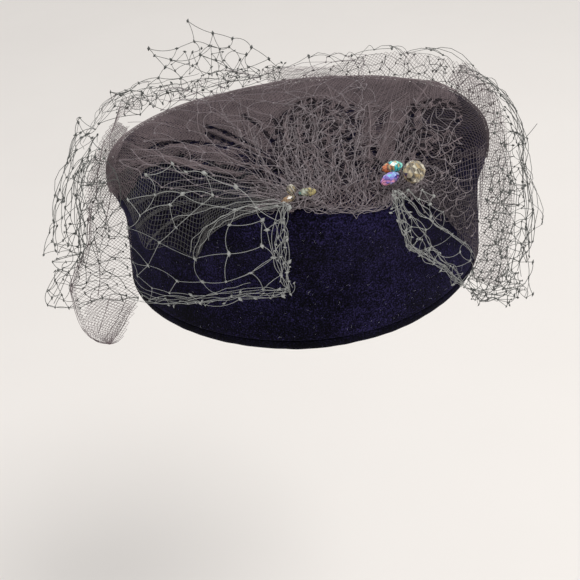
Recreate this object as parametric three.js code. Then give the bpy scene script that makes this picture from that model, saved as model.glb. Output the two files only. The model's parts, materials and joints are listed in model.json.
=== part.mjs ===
// Pillbox hat: a blocked velvet crown with a turned-under hem, a fine tulle
// veil and a coarse net veil gathered at the front edge of the top, and two
// small clusters of cut glass beads over the gathers.
//
// Millimetres, +Z up. Origin: centre of the head opening at the level of the
// sides of the rim. The front of the hat faces -Y, +X is the right-hand side
// seen from the front.
import * as THREE from "three";

// ------------------------------------------------------------ driving sizes
const OVAL = { halfWidth: 86, halfDepth: 73.5, egg: 0.157 };  // outside of the wall; egg makes the back wider
const WALL = 2.6;           // velvet over its stiffened foundation
const RIM_LIFT = 4.1;       // front and back of the rim stand above the sides
const LIFT_FADE = 46;       // height at which the rim's wave has died out
const TOP = { height: 68.1, tilt: -0.025, dome: 1.2 };  // top plane, slightly lower at the back
const HEM = { height: 5.6, strip: 16 };                 // roll of the turned edge, strip lying inside
const GAP = 0.4;            // between neighbouring pieces
const AROUND = 72;          // columns round the oval
const NET_T = 1.3;          // outer form of the net: mean thickness
const PLEAT = { every: 17, deep: 2.4 };   // soft folds of the hanging sides: degrees apart, mm in and out
const TULLE_T = 1.0;        // outer form of the tulle: mean thickness

const rad = (d) => (d * Math.PI) / 180;
const lerp = (a, b, t) => a + (b - a) * t;
const smooth = (t) => { const c = Math.min(1, Math.max(0, t)); return c * c * (3 - 2 * c); };

// Point of the oval at azimuth phi (degrees, 0 = right, 90 = back), at a
// distance "out" beyond the oval of half-width "half".
function ovalPoint(phi, half, z) {
  const c = Math.cos(rad(phi)), s = Math.sin(rad(phi));
  const depth = half - (OVAL.halfWidth - OVAL.halfDepth);
  return new THREE.Vector3(half * c * (1 + OVAL.egg * s), depth * s, z);
}
const waved = (phi, z) => z + RIM_LIFT * Math.sin(rad(phi)) ** 2 * (1 - smooth(z / LIFT_FADE));

// Height of the rounded top edge and top plane follow the tilt.
const tilted = (p) => p.z + TOP.tilt * p.y * smooth((p.z - 30) / 34);

// ------------------------------------------------------------ mesh helpers
// Closed mesh from a grid of rows x columns of points. wrapCols joins the last
// column to the first, wrapRows the last row to the first; poles close the
// first and last rows on one point each.
function gridMesh(rows, { wrapCols = false, wrapRows = false, poleStart = null, poleEnd = null, flip = false }) {
  const nr = rows.length, nc = rows[0].length;
  const pos = [];
  rows.forEach((r) => r.forEach((p) => pos.push(p.x, p.y, p.z)));
  const id = (i, j) => ((i + nr) % nr) * nc + ((j + nc) % nc);
  const tri = [];
  const add = (a, b, c) => (flip ? tri.push(a, c, b) : tri.push(a, b, c));
  const ri = wrapRows ? nr : nr - 1, cj = wrapCols ? nc : nc - 1;
  for (let i = 0; i < ri; i++)
    for (let j = 0; j < cj; j++) {
      add(id(i, j), id(i, j + 1), id(i + 1, j + 1));
      add(id(i, j), id(i + 1, j + 1), id(i + 1, j));
    }
  const pole = (p, i, rev) => {
    const k = pos.length / 3;
    pos.push(p.x, p.y, p.z);
    for (let j = 0; j < cj; j++) rev ? add(k, id(i, j + 1), id(i, j)) : add(k, id(i, j), id(i, j + 1));
  };
  if (poleStart) pole(poleStart, 0, true);
  if (poleEnd) pole(poleEnd, nr - 1, false);
  return fromArrays(pos, tri);
}

function fromArrays(pos, tri) {
  const g = new THREE.BufferGeometry();
  g.setAttribute("position", new THREE.Float32BufferAttribute(pos, 3));
  g.setIndex(tri);
  if (volume(g) < 0) {
    const ix = g.index.array;
    for (let k = 0; k < ix.length; k += 3) { const t = ix[k + 1]; ix[k + 1] = ix[k + 2]; ix[k + 2] = t; }
  }
  g.computeVertexNormals();
  return g;
}

function volume(g) {
  const p = g.attributes.position, ix = g.index.array;
  const a = new THREE.Vector3(), b = new THREE.Vector3(), c = new THREE.Vector3();
  let v = 0;
  for (let k = 0; k < ix.length; k += 3) {
    a.fromBufferAttribute(p, ix[k]); b.fromBufferAttribute(p, ix[k + 1]); c.fromBufferAttribute(p, ix[k + 2]);
    v += a.dot(b.cross(c)) / 6;
  }
  return v;
}

// ------------------------------------------------------------ crown
// Outside profile: height above the rim and half-width of the oval there.
const WALL_PROFILE = [
  { z: 6.0, half: 85.2 },
  { z: 12, half: 84.8 },
  { z: 20, half: 83.9 },
  { z: 29, half: 83.0 },
  { z: 37, half: 82.6 },
  { z: 44, half: 83.2 },
  { z: 50, half: 84.7 },
  { z: 55, half: 85.7 },
  { z: 59, half: 85.4 },
  { z: 62.5, half: 83.9 },
  { z: 65.2, half: 81.6 },
  { z: 67.0, half: 78.6 },
  { z: 67.9, half: 74.5 },
];
const TOP_RINGS = [0.82, 0.6, 0.36, 0.14];   // rings of the top, as shares of its radius

function crownRows(inset, zShift, bottom) {
  const rows = [];
  const ring = (half, z) => {
    const r = [];
    for (let j = 0; j < AROUND; j++) {
      const phi = (360 * j) / AROUND;
      const p = ovalPoint(phi, half, waved(phi, z));
      p.z = tilted(p);
      r.push(p);
    }
    return r;
  };
  WALL_PROFILE.forEach((s, k) => {
    const z = k === 0 ? bottom : s.z + zShift * smooth((s.z - 44) / 22);
    rows.push(ring(s.half - inset * lerp(1, 0.75, smooth((s.z - 60) / 8)), z));
  });
  const last = WALL_PROFILE[WALL_PROFILE.length - 1];
  TOP_RINGS.forEach((f) => {
    const r = [];
    for (let j = 0; j < AROUND; j++) {
      const phi = (360 * j) / AROUND, c = Math.cos(rad(phi)), s = Math.sin(rad(phi));
      const p = new THREE.Vector3(last.half * f * c * (1 + OVAL.egg * s * f), (last.half - 12.5) * f * s, 0);
      p.z = TOP.height + zShift + TOP.dome * (1 - f * f);
      p.z = tilted(p);
      r.push(p);
    }
    rows.push(r);
  });
  return { rows, pole: new THREE.Vector3(0, 0, TOP.height + zShift + TOP.dome) };
}

function crownGeometry() {
  const out = crownRows(0, 0, WALL_PROFILE[0].z);
  const inn = crownRows(WALL, -WALL, WALL_PROFILE[0].z);
  // outer surface up to the pole, inner surface from its own pole down
  const rows = [...inn.rows.slice().reverse(), ...out.rows];
  return gridMesh(rows, { wrapCols: true, poleStart: inn.pole, poleEnd: out.pole });
}

// ------------------------------------------------------------ turned hem
// Section of the turned-under edge: offset from the wall's outside and height.
const HEM_SECTION = [
  { out: 0.25, z: 3.1 }, { out: 0.0, z: 1.5 }, { out: -1.1, z: 0.35 }, { out: -2.6, z: 0 },
  { out: -4.0, z: 0.5 }, { out: -4.7, z: 1.8 }, { out: -4.8, z: 4.0 },
  { out: -4.6, z: HEM.strip - 0.6 }, { out: -4.2, z: HEM.strip }, { out: -3.5, z: HEM.strip },
  { out: -3.1, z: HEM.strip - 0.6 }, { out: -WALL - GAP - 0.1, z: HEM.height + 0.6 },
  { out: -2.5, z: HEM.height }, { out: -0.5, z: HEM.height - 0.05 }, { out: 0.15, z: HEM.height - 0.9 },
];
function hemGeometry() {
  const base = (z) => {   // the wall's half-width at this height
    const p = WALL_PROFILE;
    if (z <= p[0].z) return 85.3;
    let k = 0;
    while (k < p.length - 2 && z > p[k + 1].z) k++;
    return lerp(p[k].half, p[k + 1].half, (z - p[k].z) / (p[k + 1].z - p[k].z));
  };
  const rows = HEM_SECTION.map((s) => {
    const r = [];
    for (let j = 0; j < AROUND; j++) {
      const phi = (360 * j) / AROUND;
      r.push(ovalPoint(phi, base(s.z) + s.out, waved(phi, s.z)));
    }
    return r;
  });
  return gridMesh(rows, { wrapCols: true, wrapRows: true });
}

// ------------------------------------------------------------ veils
// Each veil is a fan of cloth from the gather at the front edge of the top,
// over the top, to a free hem. One row is one fold line: phi is the azimuth it
// leaves the top at; gx its place along the gather; top is the height halfway
// over the top; then the shoulder, the bulge and the hem, each as distance
// beyond the wall and height.
const NET = [
  { phi: -108, gx: -17, top: 70.6, so: 2.6, sz: 63, bo: 4.2, bz: 50, ho: 4.2, hz: 37 },
  { phi: -122, gx: -17, top: 72.6, so: 3.2, sz: 66, bo: 4.8, bz: 50, ho: 4.4, hz: 31 },
  { phi: -136, gx: -17, top: 73.6, so: 3.4, sz: 68, bo: 5.4, bz: 49, ho: 4.6, hz: 25 },
  { phi: -150, gx: -16, top: 74.2, so: 3.8, sz: 69, bo: 6.6, bz: 48, ho: 5.4, hz: 17 },
  { phi: -162, gx: -15, top: 74.6, so: 4.4, sz: 70, bo: 11, bz: 46, ho: 12, hz: 10 },
  { phi: -172, gx: -14, top: 75.2, so: 5.4, sz: 72, bo: 19, bz: 43, ho: 28, hz: 5 },
  { phi: -180, gx: -13, top: 75.8, so: 6.4, sz: 73, bo: 25, bz: 40, ho: 40, hz: 3 },
  { phi: -188, gx: -12, top: 76.4, so: 6.8, sz: 75, bo: 26, bz: 44, ho: 39, hz: 8 },
  { phi: -197, gx: -11, top: 77.0, so: 6.2, sz: 76, bo: 20, bz: 56, ho: 31, hz: 20 },
  { phi: -206, gx: -10, top: 77.2, so: 4.4, sz: 78, bo: 13, bz: 68, ho: 23, hz: 40 },
  { phi: -216, gx: -9, top: 77.0, so: 0.5, sz: 79, bo: 8.5, bz: 79, ho: 15, hz: 63 },
  { phi: -227, gx: -8, top: 76.4, so: -4, sz: 78, bo: 3.5, bz: 84, ho: 10, hz: 83 },
  { phi: -238, gx: -7, top: 75.6, so: -7, sz: 77, bo: 1.5, bz: 85, ho: 8, hz: 94 },
  { phi: -249, gx: -5, top: 75.0, so: -7, sz: 76, bo: 2, bz: 87, ho: 8, hz: 101 },
  { phi: -258, gx: -3, top: 74.4, so: -6, sz: 74, bo: 4, bz: 82, ho: 11, hz: 91 },
  { phi: -269, gx: -1, top: 73.8, so: -4, sz: 71.5, bo: 6, bz: 73, ho: 13, hz: 71 },
  { phi: -277, gx: 1, top: 73.8, so: -3, sz: 71, bo: 7, bz: 69, ho: 14, hz: 60 },
  { phi: -288, gx: 3, top: 74.4, so: -2, sz: 73, bo: 9, bz: 73, ho: 17, hz: 58 },
  { phi: -299, gx: 5, top: 75.2, so: 0, sz: 75, bo: 14, bz: 73, ho: 21, hz: 55 },
  { phi: -310, gx: 7, top: 76.0, so: 2, sz: 76, bo: 18, bz: 71, ho: 26, hz: 48 },
  { phi: -320, gx: 9, top: 76.6, so: 3.4, sz: 77, bo: 21, bz: 67, ho: 28, hz: 40 },
  { phi: -332, gx: 11, top: 76.6, so: 4.4, sz: 76, bo: 23, bz: 60, ho: 29, hz: 32 },
  { phi: -346, gx: 13, top: 76.2, so: 4.8, sz: 74, bo: 25, bz: 48, ho: 28, hz: 21 },
  { phi: -357, gx: 14, top: 75.6, so: 4.8, sz: 72.5, bo: 25, bz: 40, ho: 28, hz: 12 },
  { phi: -368, gx: 15, top: 75.0, so: 4.6, sz: 71.5, bo: 24, bz: 34, ho: 27, hz: 3 },
  { phi: -379, gx: 16, top: 74.4, so: 4.4, sz: 70.5, bo: 21, bz: 30, ho: 25, hz: -4 },
  { phi: -388, gx: 17, top: 73.8, so: 4.2, sz: 70, bo: 17, bz: 30, ho: 24, hz: -8 },
  { phi: -398, gx: 18, top: 73.2, so: 4.0, sz: 69, bo: 11.5, bz: 34, ho: 17, hz: -3 },
  { phi: -406, gx: 19, top: 72.6, so: 3.8, sz: 68, bo: 7, bz: 38, ho: 7.5, hz: 8 },
  { phi: -415, gx: 20, top: 72.0, so: 3.4, sz: 67, bo: 4.8, bz: 44, ho: 4.6, hz: 20 },
  { phi: -425, gx: 20.5, top: 71.2, so: 3.0, sz: 66, bo: 4.2, bz: 51, ho: 4.2, hz: 37 },
  { phi: -435, gx: 21, top: 70.6, so: 2.8, sz: 65, bo: 3.8, bz: 58, ho: 4.0, hz: 52 },
];
const TULLE = [
  { phi: -112, gx: -17, top: 69.6, so: 0.9, sz: 64, bo: 1.6, bz: 61, ho: 1.6, hz: 58 },
  { phi: -124, gx: -17, top: 70.8, so: 1.0, sz: 65, bo: 1.8, bz: 60, ho: 1.8, hz: 54 },
  { phi: -138, gx: -17, top: 71.8, so: 1.1, sz: 66.5, bo: 2.4, bz: 58, ho: 2.6, hz: 46 },
  { phi: -148, gx: -16, top: 72.2, so: 1.3, sz: 67.5, bo: 3.2, bz: 58, ho: 3.6, hz: 42 },
  { phi: -158, gx: -15, top: 72.6, so: 1.6, sz: 68.5, bo: 4.4, bz: 58, ho: 5.0, hz: 40 },
  { phi: -168, gx: -14, top: 73.0, so: 2.0, sz: 70, bo: 7.0, bz: 52, ho: 9.0, hz: 20 },
  { phi: -178, gx: -13, top: 73.4, so: 2.4, sz: 71, bo: 11, bz: 44, ho: 20, hz: -10 },
  { phi: -185, gx: -12, top: 74.0, so: 2.6, sz: 72, bo: 12.5, bz: 46, ho: 22, hz: -30 },
  { phi: -191, gx: -11, top: 74.6, so: 2.4, sz: 73, bo: 11.5, bz: 50, ho: 12, hz: -31 },
  { phi: -198, gx: -10, top: 75.0, so: 2.0, sz: 74, bo: 9.0, bz: 56, ho: 5.5, hz: -12 },
  { phi: -208, gx: -9, top: 75.0, so: 0.6, sz: 75.4, bo: 6.5, bz: 66, ho: 6, hz: 30 },
  { phi: -220, gx: -8, top: 74.6, so: -4, sz: 75.4, bo: 1.5, bz: 73, ho: 5, hz: 60 },
  { phi: -236, gx: -7, top: 73.8, so: -8, sz: 74, bo: -2, bz: 74, ho: 4, hz: 66 },
  { phi: -254, gx: -4, top: 72.6, so: -9, sz: 71.5, bo: -2, bz: 72, ho: 4, hz: 64 },
  { phi: -272, gx: 0, top: 72.0, so: -8, sz: 69.2, bo: -1, bz: 67.8, ho: 4, hz: 60 },
  { phi: -290, gx: 4, top: 72.6, so: -6, sz: 70.4, bo: 1.5, bz: 69, ho: 5, hz: 58 },
  { phi: -306, gx: 7, top: 73.6, so: -3, sz: 72, bo: 5, bz: 70, ho: 10, hz: 52 },
  { phi: -320, gx: 9, top: 74.2, so: -1, sz: 73, bo: 10, bz: 66, ho: 16, hz: 42 },
  { phi: -334, gx: 11, top: 74.2, so: 0.4, sz: 72.6, bo: 13, bz: 58, ho: 19, hz: 32 },
  { phi: -348, gx: 13, top: 73.8, so: 1.2, sz: 71.4, bo: 15, bz: 48, ho: 19, hz: 22 },
  { phi: -362, gx: 14.5, top: 73.2, so: 1.6, sz: 70, bo: 14, bz: 42, ho: 17, hz: 14 },
  { phi: -376, gx: 16, top: 72.6, so: 1.8, sz: 69, bo: 11, bz: 40, ho: 14, hz: 8 },
  { phi: -388, gx: 17, top: 71.8, so: 1.6, sz: 68, bo: 7, bz: 42, ho: 9, hz: 6 },
  { phi: -400, gx: 18, top: 71.2, so: 1.4, sz: 67, bo: 3.6, bz: 46, ho: 4, hz: 12 },
  { phi: -412, gx: 19, top: 70.6, so: 1.2, sz: 66, bo: 2.0, bz: 52, ho: 2.0, hz: 30 },
  { phi: -424, gx: 19.5, top: 70.0, so: 1.0, sz: 65, bo: 1.7, bz: 57, ho: 1.7, hz: 48 },
];
const GATHER = { y: -66, bow: 0.012, netZ: 72.5, tulleZ: 70.95 };

function catmull(p0, p1, p2, p3, t) {
  const f = (a, b, c, d) => 0.5 * (2 * b + (c - a) * t + (2 * a - 5 * b + 4 * c - d) * t * t + (3 * b - a - 3 * c + d) * t * t * t);
  return p0.map((_, k) => f(p0[k], p1[k], p2[k], p3[k]));
}
// Evaluate a list of equal-length number rows at a real index.
function along(list, x) {
  const n = list.length - 1, i = Math.min(n - 1, Math.max(0, Math.floor(x))), t = x - i;
  return catmull(list[Math.max(0, i - 1)], list[i], list[i + 1], list[Math.min(n, i + 2)], t);
}

function veilGeometry(table, gatherZ, thick, perStation, perSpan) {
  const cols = ["phi", "gx", "top", "so", "sz", "bo", "bz", "ho", "hz"];
  const rowsIn = table.map((r) => cols.map((c) => r[c]));
  const nu = (table.length - 1) * perStation + 1;
  const grid = [];
  for (let i = 0; i < nu; i++) {
    const [phi, gx, top, so, sz, bulge, bz, hem, hz] = along(rowsIn, i / perStation);
    const fold1 = PLEAT.deep * Math.sin((2 * Math.PI * phi) / PLEAT.every);
    const bo = bulge + fold1 * 0.6 * smooth((bulge - 7) / 8);
    const ho = hem + fold1 * smooth((hem - 7) / 8);
    const out = (o, z) => { const p = ovalPoint(phi, OVAL.halfWidth + o, z); return [p.x, p.y, p.z]; };
    const g = [gx, GATHER.y + GATHER.bow * gx * gx * 0.5, gatherZ];
    const s = out(so, sz);
    const mid = [lerp(g[0], s[0], 0.5), lerp(g[1], s[1], 0.5), top];
    const fold = [g, mid, s, out(bo, bz), out(ho, hz)];
    const line = [];
    const nv = (fold.length - 1) * perSpan;
    for (let j = 0; j <= nv; j++) line.push(new THREE.Vector3(...along(fold, j / perSpan)));
    grid.push(line);
  }
  // two skins, half the thickness to each side, joined along their edges
  const nr = grid.length, nc = grid[0].length;
  const pos = [], tri = [];
  for (const side of [1, -1])
    for (let i = 0; i < nr; i++)
      for (let j = 0; j < nc; j++) {
        const du = grid[Math.min(nr - 1, i + 1)][j].clone().sub(grid[Math.max(0, i - 1)][j]);
        const dv = grid[i][Math.min(nc - 1, j + 1)].clone().sub(grid[i][Math.max(0, j - 1)]);
        const n = du.cross(dv).normalize();
        const p = grid[i][j].clone().addScaledVector(n, (side * thick) / 2);
        pos.push(p.x, p.y, p.z);
      }
  const id = (s, i, j) => s * nr * nc + i * nc + j;
  const quad = (a, b, c, d) => tri.push(a, b, c, a, c, d);
  for (let i = 0; i < nr - 1; i++)
    for (let j = 0; j < nc - 1; j++) {
      quad(id(0, i, j), id(0, i + 1, j), id(0, i + 1, j + 1), id(0, i, j + 1));
      quad(id(1, i, j), id(1, i, j + 1), id(1, i + 1, j + 1), id(1, i + 1, j));
    }
  for (let i = 0; i < nr - 1; i++) {
    quad(id(0, i, 0), id(1, i, 0), id(1, i + 1, 0), id(0, i + 1, 0));
    quad(id(0, i, nc - 1), id(0, i + 1, nc - 1), id(1, i + 1, nc - 1), id(1, i, nc - 1));
  }
  for (let j = 0; j < nc - 1; j++) {
    quad(id(0, 0, j), id(0, 0, j + 1), id(1, 0, j + 1), id(1, 0, j));
    quad(id(0, nr - 1, j), id(1, nr - 1, j), id(1, nr - 1, j + 1), id(0, nr - 1, j + 1));
  }
  return fromArrays(pos, tri);
}

// ------------------------------------------------------------ beads
// Cut glass beads, drilled along their length. A profile closes on itself
// round the bore; the facets are the lathe's flat sides.
function beadGeometry(radius, halfLength, boreRadius, sides) {
  const ring = [
    [boreRadius, -halfLength], [radius * 0.52, -halfLength * 0.93], [radius * 0.86, -halfLength * 0.55],
    [radius, -halfLength * 0.12], [radius, halfLength * 0.12], [radius * 0.86, halfLength * 0.55],
    [radius * 0.52, halfLength * 0.93], [boreRadius, halfLength], [boreRadius, -halfLength],
  ].map(([x, y]) => new THREE.Vector2(x, y));
  const g = new THREE.LatheGeometry(ring, sides);
  return weld(g);
}
function weld(g) {
  const p = g.attributes.position, key = new Map(), map = [], pos = [];
  for (let k = 0; k < p.count; k++) {
    const s = [p.getX(k), p.getY(k), p.getZ(k)].map((v) => v.toFixed(4)).join(",");
    if (!key.has(s)) { key.set(s, pos.length / 3); pos.push(p.getX(k), p.getY(k), p.getZ(k)); }
    map.push(key.get(s));
  }
  const tri = [], ix = g.index.array;
  for (let k = 0; k < ix.length; k += 3) {
    const [a, b, c] = [map[ix[k]], map[ix[k + 1]], map[ix[k + 2]]];
    if (a !== b && b !== c && a !== c) tri.push(a, b, c);
  }
  return fromArrays(pos, tri);
}
// Place of each bead's centre, its size, and the direction of its bore:
// turn is the bore's angle in plan, rise its slope (degrees).
const BEADS = [
  { name: "bead_right_round", x: 26.5, y: -69.0, z: 78.3, radius: 5.0, half: 4.6, turn: 60, rise: 55, colour: 0xcfc6ae },
  { name: "bead_right_upper", x: 21.0, y: -60.2, z: 77.0, radius: 2.75, half: 4.6, turn: 3, rise: 0, colour: 0x4fae9e },
  { name: "bead_right_lower", x: 17.8, y: -67.1, z: 76.2, radius: 2.7, half: 4.9, turn: 28, rise: 0, colour: 0x7d74c4 },
  { name: "bead_left_round", x: -19.0, y: -62.2, z: 76.1, radius: 2.1, half: 1.9, turn: 0, rise: 0, colour: 0xd8d2c0 },
  { name: "bead_left_upper", x: -13.6, y: -65.4, z: 75.7, radius: 2.4, half: 4.1, turn: -10, rise: 0, colour: 0xb9a455 },
  { name: "bead_left_lower", x: -21.3, y: -67.3, z: 75.2, radius: 2.1, half: 3.5, turn: 24, rise: 0, colour: 0xa9784f },
];

// ------------------------------------------------------------ assembly
const cloth = (color, roughness) => new THREE.MeshStandardMaterial({ color, roughness, metalness: 0 });
const hat = new THREE.Group();
function part(name, geometry, material) {
  const m = new THREE.Mesh(geometry, material);
  m.name = name;
  hat.add(m);
  return m;
}
part("crown", crownGeometry(), cloth(0x14132e, 0.95));
part("turned_hem", hemGeometry(), cloth(0x0d0c1e, 0.95));
part("tulle_veil", veilGeometry(TULLE, GATHER.tulleZ, TULLE_T, 2, 3), cloth(0x6b6266, 0.85));
part("net_veil", veilGeometry(NET, GATHER.netZ, NET_T, 2, 3), cloth(0x55505a, 0.85));
for (const b of BEADS) {
  const m = part(b.name, beadGeometry(b.radius, b.half, 0.55, 10), new THREE.MeshStandardMaterial({ color: b.colour, roughness: 0.05, metalness: 0.1 }));
  m.position.set(b.x, b.y, b.z);
  // the lathe's axis is Y; turn it to the bore's direction
  const dir = new THREE.Vector3(
    Math.cos(rad(b.rise)) * Math.cos(rad(b.turn)),
    Math.cos(rad(b.rise)) * Math.sin(rad(b.turn)),
    Math.sin(rad(b.rise)));
  m.quaternion.setFromUnitVectors(new THREE.Vector3(0, 1, 0), dir);
}

export default hat;
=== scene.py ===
"""Pillbox hat: velvet crown and hem, fine tulle veil, coarse knotted net and
cut glass beads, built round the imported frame. Lengths below are millimetres
in the hat's own frame (+Z up, front towards -Y); meshes are made in metres."""
import json
import math

import bpy
import numpy as np
from mathutils import Matrix, Vector

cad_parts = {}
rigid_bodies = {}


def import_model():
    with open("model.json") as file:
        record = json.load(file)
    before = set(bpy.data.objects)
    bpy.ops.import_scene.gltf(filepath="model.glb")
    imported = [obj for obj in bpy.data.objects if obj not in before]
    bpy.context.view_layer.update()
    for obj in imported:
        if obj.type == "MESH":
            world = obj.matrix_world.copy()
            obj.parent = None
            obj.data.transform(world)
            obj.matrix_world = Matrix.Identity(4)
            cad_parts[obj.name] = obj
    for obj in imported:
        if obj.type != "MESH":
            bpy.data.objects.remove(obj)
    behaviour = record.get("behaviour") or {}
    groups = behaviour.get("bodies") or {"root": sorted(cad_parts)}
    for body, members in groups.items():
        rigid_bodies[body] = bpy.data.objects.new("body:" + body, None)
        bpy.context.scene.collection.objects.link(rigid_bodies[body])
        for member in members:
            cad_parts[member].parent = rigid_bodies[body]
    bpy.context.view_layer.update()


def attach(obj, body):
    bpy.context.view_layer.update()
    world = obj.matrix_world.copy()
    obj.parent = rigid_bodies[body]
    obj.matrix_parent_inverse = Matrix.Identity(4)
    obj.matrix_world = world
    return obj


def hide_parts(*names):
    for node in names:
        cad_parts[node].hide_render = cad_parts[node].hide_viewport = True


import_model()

MM = 0.001
BODY = "root"

# ------------------------------------------------------------------ camera
CAM_AT = np.array([-68.01, -319.83, 220.14])
CAM_AXES = np.array([[0.97207, -0.22343, -0.07183], [0.18833, 0.55997, 0.80682], [-0.14005, -0.79781, 0.58641]])
FOCAL = 800.0          # in pixels of the 580 x 580 frame
FRAME_PX = 580.0


def ray(px):
    """Directions, in millimetres, of the view lines through points of the frame."""
    px = np.atleast_2d(np.asarray(px, float))
    d = np.stack([(px[:, 0] - FRAME_PX / 2) / FOCAL, -(px[:, 1] - FRAME_PX / 2) / FOCAL, -np.ones(len(px))], 1)
    d = d @ CAM_AXES
    return d / np.linalg.norm(d, axis=1, keepdims=True)


def to_frame(P):
    """Places in the 580 x 580 frame, and depth along the view axis."""
    q = (np.asarray(P, float) - CAM_AT) @ CAM_AXES.T
    z = -q[..., 2]
    return np.stack([FRAME_PX / 2 + FOCAL * q[..., 0] / z, FRAME_PX / 2 - FOCAL * q[..., 1] / z], -1), z


# ------------------------------------------------------------------ helpers
def smooth(t):
    t = np.clip(t, 0, 1)
    return t * t * (3 - 2 * t)


def unit(v):
    return v / np.maximum(np.linalg.norm(v, axis=-1, keepdims=True), 1e-9)


def catmull(rows, per):
    """Rows of numbers joined by smooth curves, with per steps between rows."""
    p = np.asarray(rows, float)
    n = len(p)
    x = np.linspace(0, n - 1, (n - 1) * per + 1)
    i = np.minimum(x.astype(int), n - 2)
    t = (x - i)[:, None]
    a, b, c, d = p[np.maximum(i - 1, 0)], p[i], p[i + 1], p[np.minimum(i + 2, n - 1)]
    return 0.5 * (2 * b + (c - a) * t + (2 * a - 5 * b + 4 * c - d) * t ** 2 + (3 * b - a - 3 * c + d) * t ** 3)


def wave_noise(x, y, seed, scale, octaves=5):
    """Smooth seeded noise in about -1 to 1, from a few crossed waves."""
    g = np.random.default_rng(seed)
    out = 0
    for _ in range(octaves):
        a, k, ph = g.uniform(0, 2 * math.pi), g.uniform(0.6, 1.7) / scale, g.uniform(0, 2 * math.pi)
        out = out + np.sin((np.cos(a) * x + np.sin(a) * y) * k * 2 * math.pi + ph)
    return out / octaves * 1.3


class Soup:
    """Vertices and faces gathered from many small shapes."""

    def __init__(self):
        self.v, self.q, self.t, self.n = [], [], [], 0

    def add(self, v, q=None, t=None):
        v = np.asarray(v, float).reshape(-1, 3)
        if q is not None and len(q):
            self.q.append(np.asarray(q).reshape(-1, 4) + self.n)
        if t is not None and len(t):
            self.t.append(np.asarray(t).reshape(-1, 3) + self.n)
        self.v.append(v)
        self.n += len(v)

    def triangles(self):
        return 2 * sum(len(x) for x in self.q) + sum(len(x) for x in self.t)

    def piece(self, name, material, slot, smooth_shade=True, replaces=(), drop_loose=True):
        v = np.concatenate(self.v)
        q = np.concatenate(self.q) if self.q else np.zeros((0, 4), int)
        t = np.concatenate(self.t) if self.t else np.zeros((0, 3), int)
        if drop_loose:
            used = np.zeros(len(v), bool)
            used[q.ravel()] = True
            used[t.ravel()] = True
            remap = np.cumsum(used) - 1
            v, q, t = v[used], remap[q], remap[t]
        me = bpy.data.meshes.new(name)
        me.vertices.add(len(v))
        me.vertices.foreach_set("co", (v * MM).ravel())
        index = np.concatenate([q.ravel(), t.ravel()]).astype(np.int32)
        me.loops.add(len(index))
        me.loops.foreach_set("vertex_index", index)
        me.polygons.add(len(q) + len(t))
        start = np.concatenate([np.arange(len(q)) * 4, len(q) * 4 + np.arange(len(t)) * 3]).astype(np.int32)
        me.polygons.foreach_set("loop_start", start)
        me.polygons.foreach_set("use_smooth", np.full(len(q) + len(t), smooth_shade))
        me.update(calc_edges=True)
        me.validate()
        me.materials.append(material)
        o = bpy.data.objects.new(name, me)
        bpy.context.scene.collection.objects.link(o)
        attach(o, BODY)
        if replaces:
            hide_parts(*replaces)
        return o


def tubes(soup, lines, normals, radius, sides=4, mask=None, caps=True):
    """Round strands along lines (count, points, 3); mask keeps single steps."""
    P = np.asarray(lines, float)
    L, n, _ = P.shape
    T = unit(np.gradient(P, axis=1))
    N = np.broadcast_to(normals, P.shape)
    Bv = unit(np.cross(T, N))
    Nn = np.cross(Bv, T)
    r = np.broadcast_to(np.asarray(radius, float), (L, n))[..., None, None]
    a = np.arange(sides) * 2 * math.pi / sides
    ring = P[:, :, None, :] + r * (np.cos(a)[None, None, :, None] * Nn[:, :, None, :] + np.sin(a)[None, None, :, None] * Bv[:, :, None, :])
    idx = np.arange(L * n * sides).reshape(L, n, sides)
    nxt = np.roll(idx, -1, axis=2)
    keep = np.ones((L, n - 1), bool) if mask is None else mask
    q = np.stack([idx[:, :-1], nxt[:, :-1], nxt[:, 1:], idx[:, 1:]], -1)[keep].reshape(-1, 4)
    t = None
    if caps:
        before = np.concatenate([np.zeros((L, 1), bool), keep], 1)
        after = np.concatenate([keep, np.zeros((L, 1), bool)], 1)
        starts, ends = after & ~before, before & ~after
        fan = np.stack([np.zeros(sides - 2, int), np.arange(1, sides - 1), np.arange(2, sides)], 1)
        s = idx[starts][:, fan[:, ::-1]].reshape(-1, 3)
        e = idx[ends][:, fan].reshape(-1, 3)
        t = np.concatenate([s, e])
    soup.add(ring, q, t)


def knots(soup, at, along, normal, long, wide, thick):
    """Small pointed knots, one eight-faced body each."""
    at = np.asarray(at, float)
    if not len(at):
        return
    u = unit(along)
    v = unit(np.cross(normal, u))
    w = np.cross(u, v)
    L, W, H = (np.broadcast_to(np.asarray(x, float), (len(at),))[:, None] for x in (long, wide, thick))
    V = np.stack([at + u * L, at + v * W, at - u * L, at - v * W, at + w * H, at - w * H], 1)
    base = np.arange(len(at))[:, None, None] * 6
    tri = np.array([[0, 1, 4], [1, 2, 4], [2, 3, 4], [3, 0, 4], [1, 0, 5], [2, 1, 5], [3, 2, 5], [0, 3, 5]])[None]
    soup.add(V, None, (base + tri).reshape(-1, 3))


# ------------------------------------------------------------------ crown shape
HALF_WIDTH, HALF_DEPTH, EGG = 86.0, 73.5, 0.157
SLIM = HALF_WIDTH - HALF_DEPTH
WALL = 2.6
RIM_LIFT, LIFT_FADE = 4.1, 46.0
TOP_TILT = -0.025
WALL_PROFILE = [  # height, half-width of the outside
    (6.0, 85.2), (12, 84.8), (20, 83.9), (29, 83.0), (37, 82.6), (44, 83.2), (50, 84.7),
    (55, 85.7), (59, 85.4), (62.5, 83.9), (65.2, 81.6), (67.0, 78.6), (67.9, 74.5)]
TOP_EDGE = WALL_PROFILE[-1]
DOME = 1.4


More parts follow.
